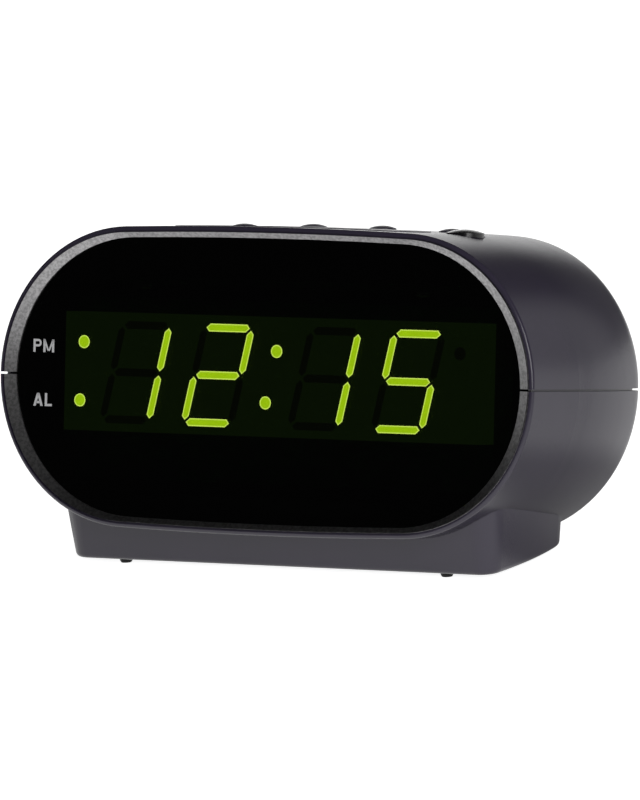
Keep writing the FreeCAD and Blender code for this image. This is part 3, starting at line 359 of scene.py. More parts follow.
@dataclass(frozen=True)
class SilveredBand:
    """Dark silver lacquer on the bezel's slope, inside the fine groove.

    The slope is found by its place in the case frame: y is less than depth, and
    the distance in from the oval outline is more than groove. The oval has ends
    of end_radius about x = end_x, and sides that rise by crown at x = 0.
    """

    colour: Colour = (0.36, 0.355, 0.36)
    roughness: float = 0.34
    depth: float = 1.42 * MM
    groove: float = 1.30 * MM
    end_x: float = 35.6 * MM
    end_radius: float = 33.4 * MM
    crown: float = 0.6 * MM
    mottle: float = 1500.0
    mottle_roughness: float = 0.65
    mottle_edges: tuple[float, float] = (0.35, 0.65)
    shaded: float = 0.6

    def mask(self, wiring: Wiring, place: bpy.types.NodeSocket) -> bpy.types.NodeSocket:
        """Adds the nodes that find the slope.

        Args:
            wiring: the material's wiring.
            place: room-frame coordinates.

        Returns:
            Socket that is 1 on the slope and 0 elsewhere.
        """
        x, y, z = wiring.axes(wiring.vectors("SUBTRACT", place, tuple(CASE.origin)).outputs[0])
        cosine, sine = math.cos(CASE.lean), math.sin(CASE.lean)
        inward = wiring.maths("SUBTRACT", wiring.maths("MULTIPLY", y, cosine),
                              wiring.maths("MULTIPLY", z, sine))
        up = wiring.maths("ADD", wiring.maths("MULTIPLY", y, sine),
                          wiring.maths("MULTIPLY", z, cosine))
        across = wiring.maths("ABSOLUTE", x)
        past = wiring.maths("MAXIMUM", wiring.maths("SUBTRACT", across, self.end_x), 0.0)
        squares = wiring.maths("ADD", wiring.maths("MULTIPLY", past, past),
                               wiring.maths("MULTIPLY", up, up))
        along = wiring.maths("MINIMUM", wiring.maths("DIVIDE", across, self.end_x), 1.0)
        fall = wiring.maths("MULTIPLY", wiring.maths("MULTIPLY", along, along), self.crown)
        limit = wiring.maths("SUBTRACT", self.end_radius - self.groove + self.crown, fall)
        inside = wiring.maths("LESS_THAN", wiring.maths("SQRT", squares), limit)
        return wiring.maths("MULTIPLY", inside, wiring.maths("LESS_THAN", inward, self.depth))

    def flakes(self, wiring: Wiring, place: bpy.types.NodeSocket) -> bpy.types.NodeSocket:
        """Adds the lacquer's colour, mottled between its own and a darker one.

        Args:
            wiring: the material's wiring.
            place: room-frame coordinates.

        Returns:
            Socket with the colour.
        """
        cloud = wiring.add("ShaderNodeTexNoise", Vector=place, Scale=self.mottle,
                           Detail=3.0, Roughness=self.mottle_roughness).outputs["Fac"]
        dark = tuple(self.shaded * part for part in self.colour)
        return wiring.blend(wiring.ramp(cloud, *self.mottle_edges), dark, self.colour)


@dataclass(frozen=True)
class MouldedPlastic:
    """Opaque moulded plastic with a grain, a slow drift of tone and a little dust."""

    name: str
    colour: Colour
    second: Colour
    roughness: float = 0.42
    spread: float = 0.06
    grain: float = 4200.0
    softness: float = 0.45
    relief: float = 0.02
    bump: float = 0.6
    specular: float = 0.5
    coat: float = 0.0
    coat_roughness: float = 0.15
    dust: float = 0.25
    dust_colour: Colour = (0.35, 0.34, 0.33)
    band: SilveredBand | None = None

    def make(self) -> bpy.types.Material:
        """Builds the material.

        Returns:
            The material, with its shader wired up.
        """
        material, wiring, shader = blank_material(self.name)
        drift = wiring.add("ShaderNodeGroup", {"node_tree": EFFECTS.drift}, Colour=self.colour,
                           Second=self.second, Roughness=self.roughness, Spread=self.spread)
        specks = wiring.add("ShaderNodeGroup", {"node_tree": EFFECTS.dust}, Amount=self.dust)
        colour = wiring.blend(specks.outputs["Mask"], drift.outputs["Colour"],
                              self.dust_colour)
        roughness = drift.outputs["Roughness"]
        grain = wiring.add("ShaderNodeGroup", {"node_tree": EFFECTS.grain}, Grain=self.grain,
                           Softness=self.softness)
        bump = wiring.add("ShaderNodeBump", Strength=self.bump,
                          Distance=self.relief * MM, Height=grain.outputs["Height"])
        if self.band:
            place = wiring.place()
            silver = self.band.mask(wiring, place)
            colour = wiring.blend(silver, colour, self.band.flakes(wiring, place))
            roughness = wiring.ramp(silver, 0.0, 1.0, roughness, self.band.roughness)
            wiring.feed(shader.inputs["Metallic"], silver)
        wiring.feed(shader.inputs["Base Color"], colour)
        wiring.feed(shader.inputs["Roughness"], roughness)
        wiring.feed(shader.inputs["Normal"], bump.outputs["Normal"])
        shader.inputs["Specular IOR Level"].default_value = self.specular
        shader.inputs["Coat Weight"].default_value = self.coat
        shader.inputs["Coat Roughness"].default_value = self.coat_roughness
        return material


@dataclass(frozen=True)
class SmokedAcrylic:
    """Dark clear plastic of the display's window, polished with faint handling marks."""

    name: str
    tint: Colour
    roughness: float = 0.02
    mark_spread: float = 0.012
    mark_scale: float = 55.0
    index: float = 1.49
    specular: float = 0.3

    def make(self) -> bpy.types.Material:
        """Builds the material.

        Returns:
            The material, with its shader wired up.
        """
        material, wiring, shader = blank_material(self.name)
        marks = wiring.add("ShaderNodeGroup", {"node_tree": EFFECTS.drift},
                           Roughness=self.roughness, Spread=self.mark_spread,
                           Scale=self.mark_scale)
        wiring.feed(shader.inputs["Base Color"], self.tint)
        wiring.feed(shader.inputs["Roughness"], marks.outputs["Roughness"])
        shader.inputs["Transmission Weight"].default_value = 1.0
        shader.inputs["IOR"].default_value = self.index
        shader.inputs["Specular IOR Level"].default_value = self.specular
        return material


@dataclass(frozen=True)
class GlowingResin:
    """Diffusing resin lit from behind, a little uneven along each stroke."""

    name: str
    colour: Colour
    glow: Colour
    strength: float
    unevenness: float = 0.12
    cloud_scale: float = 260.0
    cloud_edges: tuple[float, float] = (0.3, 0.7)
    shaded: float = 0.6
    roughness: float = 0.55

    def make(self) -> bpy.types.Material:
        """Builds the material.

        Returns:
            The material, with its shader wired up.
        """
        material, wiring, shader = blank_material(self.name)
        cloud = wiring.add("ShaderNodeTexNoise", Vector=wiring.place(),
                           Scale=self.cloud_scale, Detail=2.0)
        share = wiring.ramp(cloud.outputs["Fac"], *self.cloud_edges, 0.0, self.unevenness)
        dimmer = tuple(self.shaded * part for part in self.glow)
        wiring.feed(shader.inputs["Base Color"], self.colour)
        wiring.feed(shader.inputs["Emission Color"], wiring.blend(share, self.glow, dimmer))
        shader.inputs["Emission Strength"].default_value = self.strength
        shader.inputs["Roughness"].default_value = self.roughness
        return material


@dataclass(frozen=True)
class Metal:
    """Plated or rolled metal with fine scratches along one axis."""

    name: str
    colour: Colour
    roughness: float = 0.32
    stretch: tuple[float, float, float] = (60.0, 900.0, 900.0)
    line_scale: float = 4.0
    line_roughness: float = 0.7
    tone_edges: tuple[float, float] = (0.3, 0.7)
    shaded: float = 0.75
    gloss_edges: tuple[float, float] = (0.2, 0.8)
    gloss_spread: tuple[float, float] = (-0.08, 0.12)
    bump: float = 0.4
    relief: float = 0.01 * MM

    def make(self) -> bpy.types.Material:
        """Builds the material.

        Returns:
            The material, with its shader wired up.
        """
        material, wiring, shader = blank_material(self.name)
        drawn = wiring.add("ShaderNodeMapping", Vector=wiring.place(), Scale=self.stretch)
        lines = wiring.add("ShaderNodeTexNoise", Vector=drawn.outputs["Vector"],
                           Scale=self.line_scale, Detail=5.0,
                           Roughness=self.line_roughness).outputs["Fac"]
        dark = tuple(self.shaded * part for part in self.colour)
        wiring.feed(shader.inputs["Base Color"],
                    wiring.blend(wiring.ramp(lines, *self.tone_edges), dark, self.colour))
        low, high = (self.roughness + change for change in self.gloss_spread)
        wiring.feed(shader.inputs["Roughness"],
                    wiring.ramp(lines, *self.gloss_edges, low, high))
        bump = wiring.add("ShaderNodeBump", Strength=self.bump, Distance=self.relief,
                          Height=lines)
        wiring.feed(shader.inputs["Normal"], bump.outputs["Normal"])
        shader.inputs["Metallic"].default_value = 1.0
        return material


@dataclass(frozen=True)
class SolderMask:
    """Circuit board: lacquer over copper tracks that run along the board."""

    name: str
    lacquer: Colour = (0.02, 0.10, 0.035)
    over_copper: Colour = (0.05, 0.19, 0.06)
    tracks_per_metre: tuple[float, float, float] = (160.0, 420.0, 420.0)
    track_edges: tuple[float, float] = (0.3, 0.34)
    track_height: float = 0.035 * MM
    bump: float = 0.5
    roughness: tuple[float, float] = (0.28, 0.4)

    def make(self) -> bpy.types.Material:
        """Builds the material.

        Returns:
            The material, with its shader wired up.
        """
        material, wiring, shader = blank_material(self.name)
        cells = wiring.add("ShaderNodeMapping", Vector=wiring.place(),
                           Scale=self.tracks_per_metre)
        tracks = wiring.add("ShaderNodeTexVoronoi", {"feature": "F1", "distance": "CHEBYCHEV"},
                            Vector=cells.outputs["Vector"], Scale=1.0)
        mask = wiring.ramp(tracks.outputs["Distance"], *self.track_edges)
        wiring.feed(shader.inputs["Base Color"],
                    wiring.blend(mask, self.over_copper, self.lacquer))
        bump = wiring.add("ShaderNodeBump", Strength=self.bump,
                          Distance=self.track_height, Height=mask)
        wiring.feed(shader.inputs["Normal"], bump.outputs["Normal"])
        wiring.feed(shader.inputs["Roughness"], wiring.ramp(mask, 0.0, 1.0, *self.roughness))
        return material


@dataclass(frozen=True)
class CellSleeve:
    """Battery cell: a dark sleeve with a pale band, bare metal at both ends."""

    name: str
    sleeve: Colour = (0.015, 0.017, 0.02)
    band: Colour = (0.45, 0.30, 0.10)
    steel: Colour = (0.62, 0.62, 0.60)
    sleeve_half: float = 21.2 * MM
    band_from: float = 9.0 * MM
    edge: float = 0.05 * MM
    roughness: tuple[float, float] = (0.3, 0.22)

    def make(self) -> bpy.types.Material:
        """Builds the material.

        Returns:
            The material, with its shader wired up.
        """
        material, wiring, shader = blank_material(self.name)
        along = wiring.axes(wiring.place())[0]
        reach = wiring.maths("ABSOLUTE", along)
        bare = wiring.ramp(reach, self.sleeve_half - self.edge, self.sleeve_half + self.edge)
        striped = wiring.ramp(along, self.band_from - self.edge, self.band_from + self.edge)
        wrapped = wiring.blend(striped, self.sleeve, self.band)
        wiring.feed(shader.inputs["Base Color"], wiring.blend(bare, wrapped, self.steel))
        wiring.feed(shader.inputs["Metallic"], bare)
        wiring.feed(shader.inputs["Roughness"], wiring.ramp(bare, 0.0, 1.0, *self.roughness))
        return material


# ---------------------------------------------------------------- new meshes
def mesh_object(name: str, vertices: np.ndarray, faces: list[list[int]],
                materials: list[bpy.types.Material],
                slots: np.ndarray | None = None) -> bpy.types.Object:
    """Makes a flat-shaded mesh object at the origin.

    Args:
        name: name of the object.
        vertices: array of n rows x, y, z in the room frame.
        faces: vertex numbers of each face.
        materials: the object's materials.
        slots: number of the material of each face.

    Returns:
        The new object, linked to the scene.
    """
    mesh = bpy.data.meshes.new(name)
    mesh.from_pydata(vertices.tolist(), [], faces)
    for material in materials:
        mesh.materials.append(material)
    if slots is not None:
        mesh.polygons.foreach_set("material_index", np.asarray(slots, dtype=np.int32))
    mesh.update()
    piece = bpy.data.objects.new(name, mesh)
    bpy.context.scene.collection.objects.link(piece)
    return piece


# ----------------------------------------------------------------- lit display
class Stroke(Enum):
    """The seven strokes of a digit, each from one node of its grid to the next."""

    TOP = ((-1, 1), (1, 1))
    UPPER_RIGHT = ((1, 1), (1, 0))
    LOWER_RIGHT = ((1, 0), (1, -1))
    BOTTOM = ((-1, -1), (1, -1))
    LOWER_LEFT = ((-1, 0), (-1, -1))
    UPPER_LEFT = ((-1, 1), (-1, 0))
    MIDDLE = ((-1, 0), (1, 0))


ONE = (Stroke.UPPER_RIGHT, Stroke.LOWER_RIGHT)
TWO = (Stroke.TOP, Stroke.UPPER_RIGHT, Stroke.MIDDLE, Stroke.LOWER_LEFT, Stroke.BOTTOM)
FIVE = (Stroke.TOP, Stroke.UPPER_LEFT, Stroke.MIDDLE, Stroke.LOWER_RIGHT, Stroke.BOTTOM)


@dataclass
class LitDisplay:
    """Faces of the lit light pipes: a bright core inside a paler rim."""

    height: float = 22.8 * MM
    width: float = 13.9 * MM
    slant: float = math.radians(13.0)
    stroke: float = 1.75 * MM
    gap: float = 0.45 * MM
    middle: float = 0.95 * MM
    centres: tuple[float, ...] = (-34.8 * MM, -13.4 * MM, 14.2 * MM, 35.6 * MM)
    shown: tuple[tuple[Stroke, ...], ...] = (ONE, TWO, ONE, FIVE)
    colon_x: float = 0.4 * MM
    colon_spread: float = 5.7 * MM
    dot_radius: float = 1.45 * MM
    dot_x: float = -49.0 * MM
    dot_lean: float = 0.4 * MM
    dot_spread: float = 6.5 * MM
    front: float = 3.8 * MM
    rim: float = 0.24 * MM
    lift: float = 0.03 * MM
    dot_sides: int = 48
    vertices: list[np.ndarray] = field(default_factory=list)
    faces: list[list[int]] = field(default_factory=list)
    slots: list[int] = field(default_factory=list)

    def stroke_outline(self, start: tuple[float, float], stop: tuple[float, float],
                       inset: float) -> np.ndarray:
        """Outline of a pointed stroke, moved inwards by inset.

        Six corners: a point at each end, and two shoulders half a stroke width
        behind it, at 45 degrees.

        Args:
            start: first node x, z of the upright digit, in metres.
            stop: last node x, z.
            inset: how far the outline is moved in.

        Returns:
            Array of six rows x, z.
        """
        first, last = np.array(start), np.array(stop)
        length = np.linalg.norm(last - first)
        along = (last - first) / length
        across = np.array([-along[1], along[0]])
        half = self.stroke / 2 - inset
        tip = self.gap + inset * math.sqrt(2)
        runs = np.array([tip, tip + half, length - tip - half,
                         length - tip, length - tip - half, tip + half])
        sides = np.array([0.0, half, half, 0.0, -half, -half])
        return first + runs[:, None] * along + sides[:, None] * across

    def dot_outline(self, x: float, z: float, inset: float) -> np.ndarray:
        """Outline of a round dot, moved inwards by inset.

        Its corners are x + r cos t, z + r sin t, at dot_sides even steps of t.

        Args:
            x: the dot's middle, across.
            z: the dot's middle, up.
            inset: how far the outline is moved in.

        Returns:
            Array of dot_sides rows x, z.
        """
        angle = np.linspace(0.0, 2 * math.pi, self.dot_sides, endpoint=False)
        radius = self.dot_radius - inset
        return np.stack([x + radius * np.cos(angle), z + radius * np.sin(angle)], axis=1)

    def add_face(self, outer: np.ndarray, inner: np.ndarray) -> None:
        """Adds one face: a ring of quads for the rim and one polygon for the core.

        The plate has its front at the light pipe's front less lift, and skirts
        that run back past it, so that it is closed against the pipe.

        Args:
            outer: outline of the rim, rows x, z in the case frame.
            inner: outline of the core, with as many rows.
        """
        count = len(outer)
        base = sum(len(block) for block in self.vertices)
        depths = (self.front + self.lift, self.front - self.lift, self.front - self.lift)
        rings = []
        for outline, depth in zip((outer, outer, inner), depths):
            rings.append(np.column_stack([outline[:, 0], np.full(count, depth), outline[:, 1]]))
        self.vertices += rings
        turns_left = np.cross(outer[1] - outer[0], outer[2] - outer[1]) > 0
        for level in (0, 1):
            for i in range(count):
                low = base + level * count
                nxt = (i + 1) % count
                quad = [low + i, low + nxt, low + count + nxt, low + count + i]
                self.faces.append(quad if turns_left else quad[::-1])
                self.slots.append(0)
        core = [base + 2 * count + i for i in range(count)]
        self.faces.append(core if turns_left else core[::-1])
        self.slots.append(1)

    def lean_digit(self, points: np.ndarray, centre: float) -> np.ndarray:
        """Slants an upright digit to the right and moves it to its place."""
        x = centre + points[:, 0] + points[:, 1] * math.tan(self.slant)
        return np.stack([x, self.middle + points[:, 1]], axis=1)

    def build(self, rim: bpy.types.Material, core: bpy.types.Material) -> bpy.types.Object:
        """Builds the faces of all lit strokes and dots as one piece.

        Args:
            rim: material of the rims.
            core: material of the cores.

        Returns:
            The new object.
        """
        half = np.array([(self.width - self.stroke) / 2, (self.height - self.stroke) / 2])
        for centre, strokes in zip(self.centres, self.shown):
            for stroke in strokes:
                ends = [tuple(np.array(node) * half) for node in stroke.value]
                outlines = [self.lean_digit(self.stroke_outline(*ends, inset), centre)
                            for inset in (0.0, self.rim)]
                self.add_face(*outlines)
        shift = self.colon_spread * math.tan(self.slant)
        spots = [(self.dot_x + side * self.dot_lean, side * self.dot_spread) for side in (-1, 1)]
        spots += [(self.colon_x + side * shift, side * self.colon_spread) for side in (-1, 1)]
        for x, z in spots:
            outlines = [self.dot_outline(x, z + self.middle, inset) for inset in (0.0, self.rim)]
            self.add_face(*outlines)
        points = CASE.place(np.concatenate(self.vertices))
        return mesh_object("lit_faces", points, self.faces, [rim, core], np.array(self.slots))


class Capital(Enum):
    """The capitals of the legends, each with its width in cap heights."""

    P = 0.74
    M = 0.98
    A = 0.84
    L = 0.62


@dataclass
class Legends:
    """The printed legends beside the two indicator dots, as flat bold capitals.

    Lengths within a letter are in cap heights, and bar is the width of a stem.
    thin, foot, slope and vee are shares of bar.
    """

    cap_height: float = 2.9 * MM
    bar: float = 0.2
    thin: float = 0.86
    foot: float = 0.9
    slope: float = 1.08
    cross: tuple[tuple[float, float], ...] = ((0.24, 0.2), (0.60, 0.2), (0.56, 0.38),
                                              (0.28, 0.38))
    vee: tuple[float, float] = (0.5, 0.2)
    vee_low: float = 0.1
    bowl: float = 0.29
    x: float = -58.2 * MM
    rows: tuple[tuple[str, float, float], ...] = (("PM", 5.5 * MM, 6.3 * MM),
                                                  ("AL", 4.95 * MM, -5.7 * MM))
    spacing: float = 0.16
    lift: float = 0.03 * MM
    bowl_sides: int = 12

    def letter(self, capital: Capital) -> list[np.ndarray]:
        """Shapes of one capital, its left foot at 0, 0.

        Straight parts are quads. P's bowl is a half ring of outer radius bowl.

        Args:
            capital: the letter.

        Returns:
            The capital's shapes, each as rows x, z.
        """
        width, bar, thin = capital.value, self.bar, self.bar * self.thin
        stem = np.array([[0, 0], [bar, 0], [bar, 1], [0, 1]], dtype=float)
        if capital is Capital.L:
            high = bar * self.foot
            return [stem, np.array([[bar, 0], [width, 0], [width, high], [bar, high]])]
        if capital is Capital.A:
            half, slope = width / 2, bar * self.slope
            left = np.array([[0, 0], [slope, 0], [half + slope / 2, 1], [half - slope / 2, 1]])
            right = np.column_stack([width - left[:, 0], left[:, 1]])[::-1]
            return [left, right, np.array(self.cross)]
        if capital is Capital.M:
            far = stem + np.array([width - bar, 0])
            dip = np.array([[bar * self.foot, 1], [0, 1],
                            [width / 2 - bar * self.vee[0], self.vee_low],
                            [width / 2 + bar * self.vee[1], self.vee_low]])[::-1]
            rise = np.column_stack([width - dip[:, 0], dip[:, 1]])[::-1]
            return [stem, far, dip, rise]
        angle = np.linspace(-math.pi / 2, math.pi / 2, self.bowl_sides + 1)
        centre = np.array([width - self.bowl, 1 - self.bowl])
        ring = [centre + radius * np.stack([np.cos(angle), np.sin(angle)], axis=1)
                for radius in (self.bowl, self.bowl - thin)]
        bowl = [np.array([ring[1][i], ring[0][i], ring[0][i + 1], ring[1][i + 1]])
                for i in range(self.bowl_sides)]
        bowl += [np.array([[bar, low], [centre[0], low], [centre[0], low + thin],
                           [bar, low + thin]]) for low in (1 - 2 * self.bowl, 1 - thin)]
        return [stem, *bowl]

    def build(self, ink: bpy.types.Material) -> list[bpy.types.Object]:
        """Builds one thin printed piece for each legend.

        Args:
            ink: material of the print.

        Returns:
            The new objects.
        """
        pieces = []
        for word, wide, height in self.rows:
            shapes, reach = [], 0.0
            for name in word:
                shift = np.array([reach, 0.0])
                shapes += [part + shift for part in self.letter(Capital[name])]
                reach += Capital[name].value + self.spacing
            reach -= self.spacing
            points = np.concatenate(shapes)
            across = self.x + (points[:, 0] / reach - 0.5) * wide
            up = height + (points[:, 1] - 0.5) * self.cap_height
            depth = np.full(len(points), CASE.rim - self.lift)
            starts = np.cumsum([0] + [len(part) for part in shapes])
            faces = [list(range(first, last)) for first, last in zip(starts[:-1], starts[1:])]
            placed = CASE.place(np.column_stack([across, depth, up]))
            pieces.append(mesh_object("legend_" + word.lower(), placed, faces, [ink]))
        return pieces


# --------------------------------------------------------------- dressed pieces
class ClockFinishes:
    """All finishes of the clock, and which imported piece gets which."""

    def __init__(self) -> None:
        """Makes the materials."""
        body = ((0.031, 0.026, 0.045), (0.036, 0.030, 0.051))
        self.case = MouldedPlastic("case_plastic", *body, roughness=0.25, spread=0.02)
        self.shell = replace(self.case, name="shell_plastic", band=SilveredBand())
        self.key = MouldedPlastic("key_plastic", *body, roughness=0.34)
        self.black_key = MouldedPlastic("black_key_plastic", (0.006, 0.006, 0.007),
                                        (0.008, 0.008, 0.009), roughness=0.22, relief=0.004,
                                        coat=0.3, dust=0.05)
        self.lens = SmokedAcrylic("smoked_acrylic", (0.045, 0.055, 0.045))
        self.module = GlowingResin("module_face", (0.02, 0.03, 0.01), (0.25, 0.5, 0.05), 0.16)
        self.lit = GlowingResin("lit_resin", (0.3, 0.5, 0.1), (0.45, 0.62, 0.006), 16.0)
        self.lit_rim = GlowingResin("lit_resin_rim", (0.3, 0.5, 0.1), (0.76, 0.85, 0.14), 17.0)
        self.unlit = GlowingResin("unlit_resin", (0.02, 0.02, 0.01), (0.25, 0.42, 0.05), 0.05)
        self.rubber = MouldedPlastic("black_rubber", (0.012, 0.012, 0.012), (0.018, 0.018, 0.018),
                                     roughness=0.7, relief=0.03, specular=0.3, dust=0.4)
        self.chip = MouldedPlastic("chip_package", (0.02, 0.02, 0.02), (0.025, 0.025, 0.026),
                                   roughness=0.6)
        self.switch = MouldedPlastic("switch_body", (0.03, 0.03, 0.03), (0.04, 0.04, 0.04),
                                     roughness=0.5)
        self.ribbon = MouldedPlastic("ribbon_sheath", (0.38, 0.38, 0.39), (0.42, 0.42, 0.43),
                                     roughness=0.45)
        self.tape = MouldedPlastic("coil_tape", (0.42, 0.27, 0.05), (0.48, 0.31, 0.07),
                                   roughness=0.25, relief=0.01)
        self.sleeve = MouldedPlastic("can_sleeve", (0.015, 0.022, 0.06), (0.02, 0.028, 0.07),
                                     roughness=0.25, relief=0.004)
        self.board = SolderMask("solder_mask")
        self.steel = Metal("zinc_plated_steel", (0.56, 0.56, 0.57))
        self.core = Metal("varnished_laminations", (0.22, 0.22, 0.23), 0.45,
                          (30.0, 1500.0, 30.0))
        self.nickel = Metal("nickel_plate", (0.66, 0.63, 0.57), 0.25)
        self.cell = CellSleeve("cell_sleeve")
        self.ink = MouldedPlastic("legend_ink", (0.60, 0.60, 0.61), (0.66, 0.66, 0.67),
                                  roughness=0.55, relief=0.003, dust=0.0)

    def by_node(self) -> dict[str, object]:
        """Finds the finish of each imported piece.

        Returns:
            The finishes by node name.
        """
        table = {
            "display_lens": self.lens, "display_housing": self.module, "lit_segments": self.lit,
            "unlit_segments": self.unlit, "main_board": self.board, "button_board": self.board,
            "clock_chip": self.chip, "capacitors": self.sleeve, "buzzer": self.chip,
            "key_switches": self.switch, "ribbon_cable": self.ribbon,
            "transformer_core": self.core, "transformer_coil": self.tape,
            "alarm_button": self.black_key, "snooze_bar": self.key, "cord_gland": self.rubber,
            "battery_springs": self.nickel, "battery_plates": self.nickel,
            "front_cell": self.cell, "rear_cell": self.cell,
        }
        table.update({"upper_case": self.shell, "lower_case": self.shell,
                      "battery_door": self.case})
        table.update(dict.fromkeys(("time_button", "alarm_set_button", "hour_button",
                                    "minute_button"), self.key))
        table.update(dict.fromkeys(("case_screws", "board_screws", "transformer_screws"),
                                   self.steel))
        feet = [f"foot_{end}_{side}" for end in ("front", "rear") for side in ("left", "right")]
        table.update(dict.fromkeys(feet, self.rubber))
        return table

    def dress(self) -> dict[str, bpy.types.Material]:
        """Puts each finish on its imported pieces.

        Returns:
            The materials by finish name.
        """
        made: dict[str, bpy.types.Material] = {}
        for node, finish in self.by_node().items():
            if finish.name not in made:
                made[finish.name] = finish.make()
            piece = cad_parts[node]
            for slot in piece.material_slots:
                slot.material = made[finish.name]
            LOG.info("%s wears %s", node, finish.name)
        for finish in (self.lit_rim, self.ink):
            made[finish.name] = finish.make()
        return made


# ----------------------------------------------------------------------- studio
@dataclass(frozen=True)
class Softbox:
    """One rectangular lamp of even brightness, turned towards its target."""

    name: str
    place: tuple[float, float, float]
    size: tuple[float, float]
    brightness: float
    target: tuple[float, float, float] = (0.0, 0.0, 0.04)

    def build(self) -> None:
        """Adds the lamp. Its power is pi times brightness times area, and the camera misses it."""
        lamp = bpy.data.lights.new(self.name, "AREA")
        lamp.shape = "RECTANGLE"
        lamp.size, lamp.size_y = self.size
        lamp.energy = math.pi * self.brightness * self.size[0] * self.size[1]
        holder = bpy.data.objects.new(self.name, lamp)
        bpy.context.scene.collection.objects.link(holder)
        holder.visible_camera = False
        towards = Vector(self.target) - Vector(self.place)
        holder.matrix_world = (Matrix.Translation(self.place)
                               @ towards.to_track_quat("-Z", "Y").to_matrix().to_4x4())


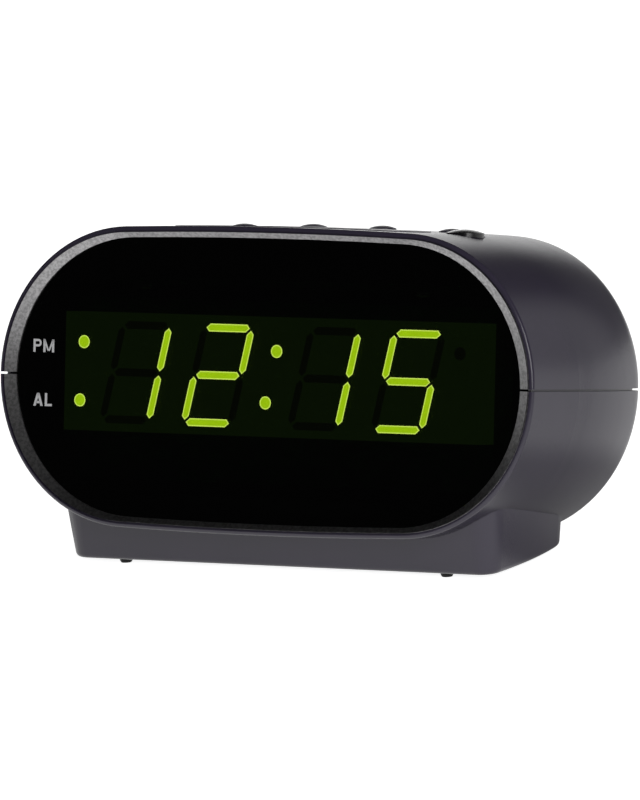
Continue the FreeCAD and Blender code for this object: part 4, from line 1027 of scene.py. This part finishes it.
@dataclass(frozen=True)
class Studio:
    """Pale floor, plain world, lamps and the camera.

    The camera sees floor and world white. Reflections see a simpler surround,
    with light and shade painted into the floor's glow: painted_pool_fade, painted_pool_far and
    painted_pool_edge shape a painted pool of light on the floor before the clock, by
    distance and depth, floor_painted_shadow a painted shadow round its foot and
    painted_shadow_beside a painted shadow close to its sides, beyond which the floor is
    dim. In the world, the panel fields give the y, z and x
    of a direction over which the white panel behind the clock begins and ends,
    and left and right glows stand at its two sides.
    """

    floor_size: float = 12.0
    floor_colour: Colour = (0.80, 0.80, 0.80)
    floor_roughness: float = 0.9
    floor_shown: float = 0.92
    painted_pool_fade: tuple[float, float] = (0.10, 0.34)
    painted_pool_far: float = 0.25
    painted_pool_edge: float = 0.03
    painted_shadow_beside: tuple[float, float] = (0.074, 0.105)
    beside_level: float = 0.5
    floor_painted_shadow: tuple[float, float] = (0.09, 0.22)
    ambient: float = 0.32
    mirrored_ambient: float = 0.018
    backdrop: float = 1.0
    panel_side: tuple[float, float] = (0.60, 0.86)
    panel_top: tuple[float, float] = (0.26, 0.38)
    panel_end: tuple[float, float] = (-0.46, -0.22)
    panel_far: float = 0.10
    right_glow_at: tuple[float, float, float] = (0.45, 0.87, 0.16)
    right_reach: tuple[float, float] = (0.91, 0.98)
    right_glow: float = 0.42
    left_side: tuple[float, float] = (0.70, 0.95)
    left_top: tuple[float, float] = (0.05, 0.30)
    left_glow: float = 0.4
    azimuth: float = math.radians(32.13)
    elevation: float = math.radians(8.80)
    roll: float = math.radians(-3.52)
    distance: float = 2.382
    focal_pixels: float = 10833.0
    picture: tuple[int, int] = (640, 800)
    middle_pixel: tuple[float, float] = (262.1, 381.5)
    pixels_per_metre: float = 4547.0
    farthest: float = 50.0
    lamps: tuple[Softbox, ...] = (
        Softbox("side_box", (0.82, -0.55, 0.44), (0.55, 0.55), 5.0),
        Softbox("left_rear_box", (-0.85, 1.0, 0.15), (0.5, 0.20), 1.0),
    )

    def build_floor(self) -> bpy.types.Object:
        """Adds the floor: a plain square just under the feet, near white to the camera.

        Returns:
            The floor.
        """
        half = self.floor_size / 2
        corners = np.array([[-half, -half, 0.0], [half, -half, 0.0], [half, half, 0.0],
                            [-half, half, 0.0]])
        material, wiring, shader = blank_material("pale_floor")
        shader.inputs["Base Color"].default_value = (*self.floor_colour, 1.0)
        shader.inputs["Roughness"].default_value = self.floor_roughness
        shader.inputs["Specular IOR Level"].default_value = 0.0
        shader.inputs["Emission Color"].default_value = (1.0, 1.0, 1.0, 1.0)
        rays = wiring.add("ShaderNodeLightPath")
        place = wiring.place()
        distance = wiring.vectors("LENGTH", place).outputs["Value"]
        x, y, _ = wiring.axes(place)
        # Painted pool of light, seen only in reflections: the floor before the clock glows fully
        # close by, fades to painted_pool_far with distance and is cut off over painted_pool_edge
        # before y = 0.
        near = wiring.maths("MULTIPLY",
                            wiring.ramp(distance, *self.painted_pool_fade, 1.0, self.painted_pool_far),
                            wiring.ramp(y, -self.painted_pool_edge, 0.0, 1.0, 0.0))
        turned = wiring.ramp(wiring.maths("DIVIDE", y, distance), *self.panel_side)
        leftward = wiring.ramp(wiring.maths("DIVIDE", x, distance), *self.panel_end, 1.0,
                               self.panel_far)
        # Painted shadow, seen only in reflections: the bright floor behind the clock goes dark
        # within floor_painted_shadow of its foot, in place of the clock's own shadow.
        behind = wiring.maths("MULTIPLY", wiring.maths("MULTIPLY", turned, leftward),
                              wiring.ramp(distance, *self.floor_painted_shadow))
        # Painted shadow, seen only in reflections: the dim floor at the sides goes dark within
        # painted_shadow_beside of the clock.
        beside = wiring.ramp(distance, *self.painted_shadow_beside, 0.0, self.beside_level)
        lit = wiring.maths("MAXIMUM", wiring.maths("MAXIMUM", near, behind), beside)
        # Only glossy rays see this painted light and shadow; the camera sees the floor evenly.
        mirrored = wiring.maths("MULTIPLY", rays.outputs["Is Glossy Ray"], lit)
        shown = wiring.maths("MAXIMUM", rays.outputs["Is Camera Ray"], mirrored)
        wiring.feed(shader.inputs["Emission Strength"],
                    wiring.maths("MULTIPLY", shown, self.floor_shown))
        return mesh_object("floor", corners, [[0, 1, 2, 3]], [material])

    def build_world(self) -> None:
        """Sets up the world: dim all round, white for the camera and behind the clock."""
        world = bpy.data.worlds.new("studio")
        world.use_nodes = True
        world.node_tree.nodes.clear()
        wiring = Wiring(world.node_tree)
        rays = wiring.add("ShaderNodeLightPath")
        direction = wiring.add("ShaderNodeTexCoord").outputs["Generated"]
        x, y, z = wiring.axes(direction)
        behind = wiring.maths("MULTIPLY", wiring.ramp(y, *self.panel_side),
                              wiring.ramp(x, *self.panel_end, 1.0, self.panel_far))
        behind = wiring.maths("MULTIPLY", behind, wiring.ramp(z, *self.panel_top, 1.0, 0.0))
        left = wiring.maths("MULTIPLY",
                            wiring.ramp(wiring.maths("MULTIPLY", x, -1.0), *self.left_side),
                            wiring.ramp(z, *self.left_top, self.left_glow, 0.0))
        towards = tuple(Vector(self.right_glow_at).normalized())
        facing = wiring.vectors("DOT_PRODUCT", direction, towards).outputs["Value"]
        right = wiring.ramp(facing, *self.right_reach, 0.0, self.right_glow)
        panel = wiring.maths("MAXIMUM", wiring.maths("MAXIMUM", behind, left), right)
        bounced = wiring.maths("ADD", rays.outputs["Is Glossy Ray"],
                               rays.outputs["Is Transmission Ray"])
        shown = wiring.maths("MAXIMUM", rays.outputs["Is Camera Ray"],
                             wiring.maths("MULTIPLY", bounced, panel))
        soft = wiring.maths("MULTIPLY", rays.outputs["Is Diffuse Ray"], self.ambient)
        dim = wiring.maths("ADD", soft, self.mirrored_ambient)
        level = wiring.maths("MAXIMUM", wiring.maths("MULTIPLY", shown, self.backdrop), dim)
        background = wiring.add("ShaderNodeBackground", Color=(1.0, 1.0, 1.0),
                                Strength=level)
        wiring.add("ShaderNodeOutputWorld", Surface=background.outputs[0])
        bpy.context.scene.world = world

    def build_camera(self) -> None:
        """Adds the camera: long lens, aimed so that the bezel's middle falls on its pixel."""
        back = Vector((math.sin(self.azimuth) * math.cos(self.elevation),
                       -math.cos(self.azimuth) * math.cos(self.elevation),
                       math.sin(self.elevation)))
        level = back.cross(Vector((0.0, 0.0, 1.0))).normalized() * -1
        upright = back.cross(level)
        right = level * math.cos(self.roll) + upright * math.sin(self.roll)
        up = back.cross(right)
        face = Vector(CASE.origin)
        eye = face + back * self.distance
        across = (self.picture[0] / 2 - self.middle_pixel[0]) / self.pixels_per_metre
        down = (self.picture[1] / 2 - self.middle_pixel[1]) / self.pixels_per_metre
        target = face + right * across - up * down
        axis_z = (eye - target).normalized()
        axis_x = up.cross(axis_z).normalized()
        axis_y = axis_z.cross(axis_x)
        camera = bpy.data.cameras.new("camera")
        camera.sensor_fit = "VERTICAL"
        camera.lens = self.focal_pixels * camera.sensor_height / self.picture[1]
        camera.clip_end = self.farthest
        holder = bpy.data.objects.new("camera", camera)
        bpy.context.scene.collection.objects.link(holder)
        turn = Matrix((axis_x, axis_y, axis_z)).transposed().to_4x4()
        holder.matrix_world = Matrix.Translation(eye) @ turn
        bpy.context.scene.camera = holder

    def build(self) -> None:
        """Builds floor, world, lamps and camera."""
        self.build_floor()
        self.build_world()
        for lamp in self.lamps:
            lamp.build()
        self.build_camera()
        bpy.context.scene.view_settings.view_transform = "Standard"


def main() -> None:
    """Dresses the clock and sets up the studio."""
    logging.basicConfig(level=logging.INFO, format="%(name)s: %(message)s")
    materials = ClockFinishes().dress()
    lit = LitDisplay().build(materials["lit_resin_rim"], materials["lit_resin"])
    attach(lit, "clock")
    LOG.info("lit faces made")
    for legend in Legends().build(materials["legend_ink"]):
        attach(legend, "clock")
        LOG.info("%s made", legend.name)
    Studio().build()


if __name__ == "__main__":
    main()
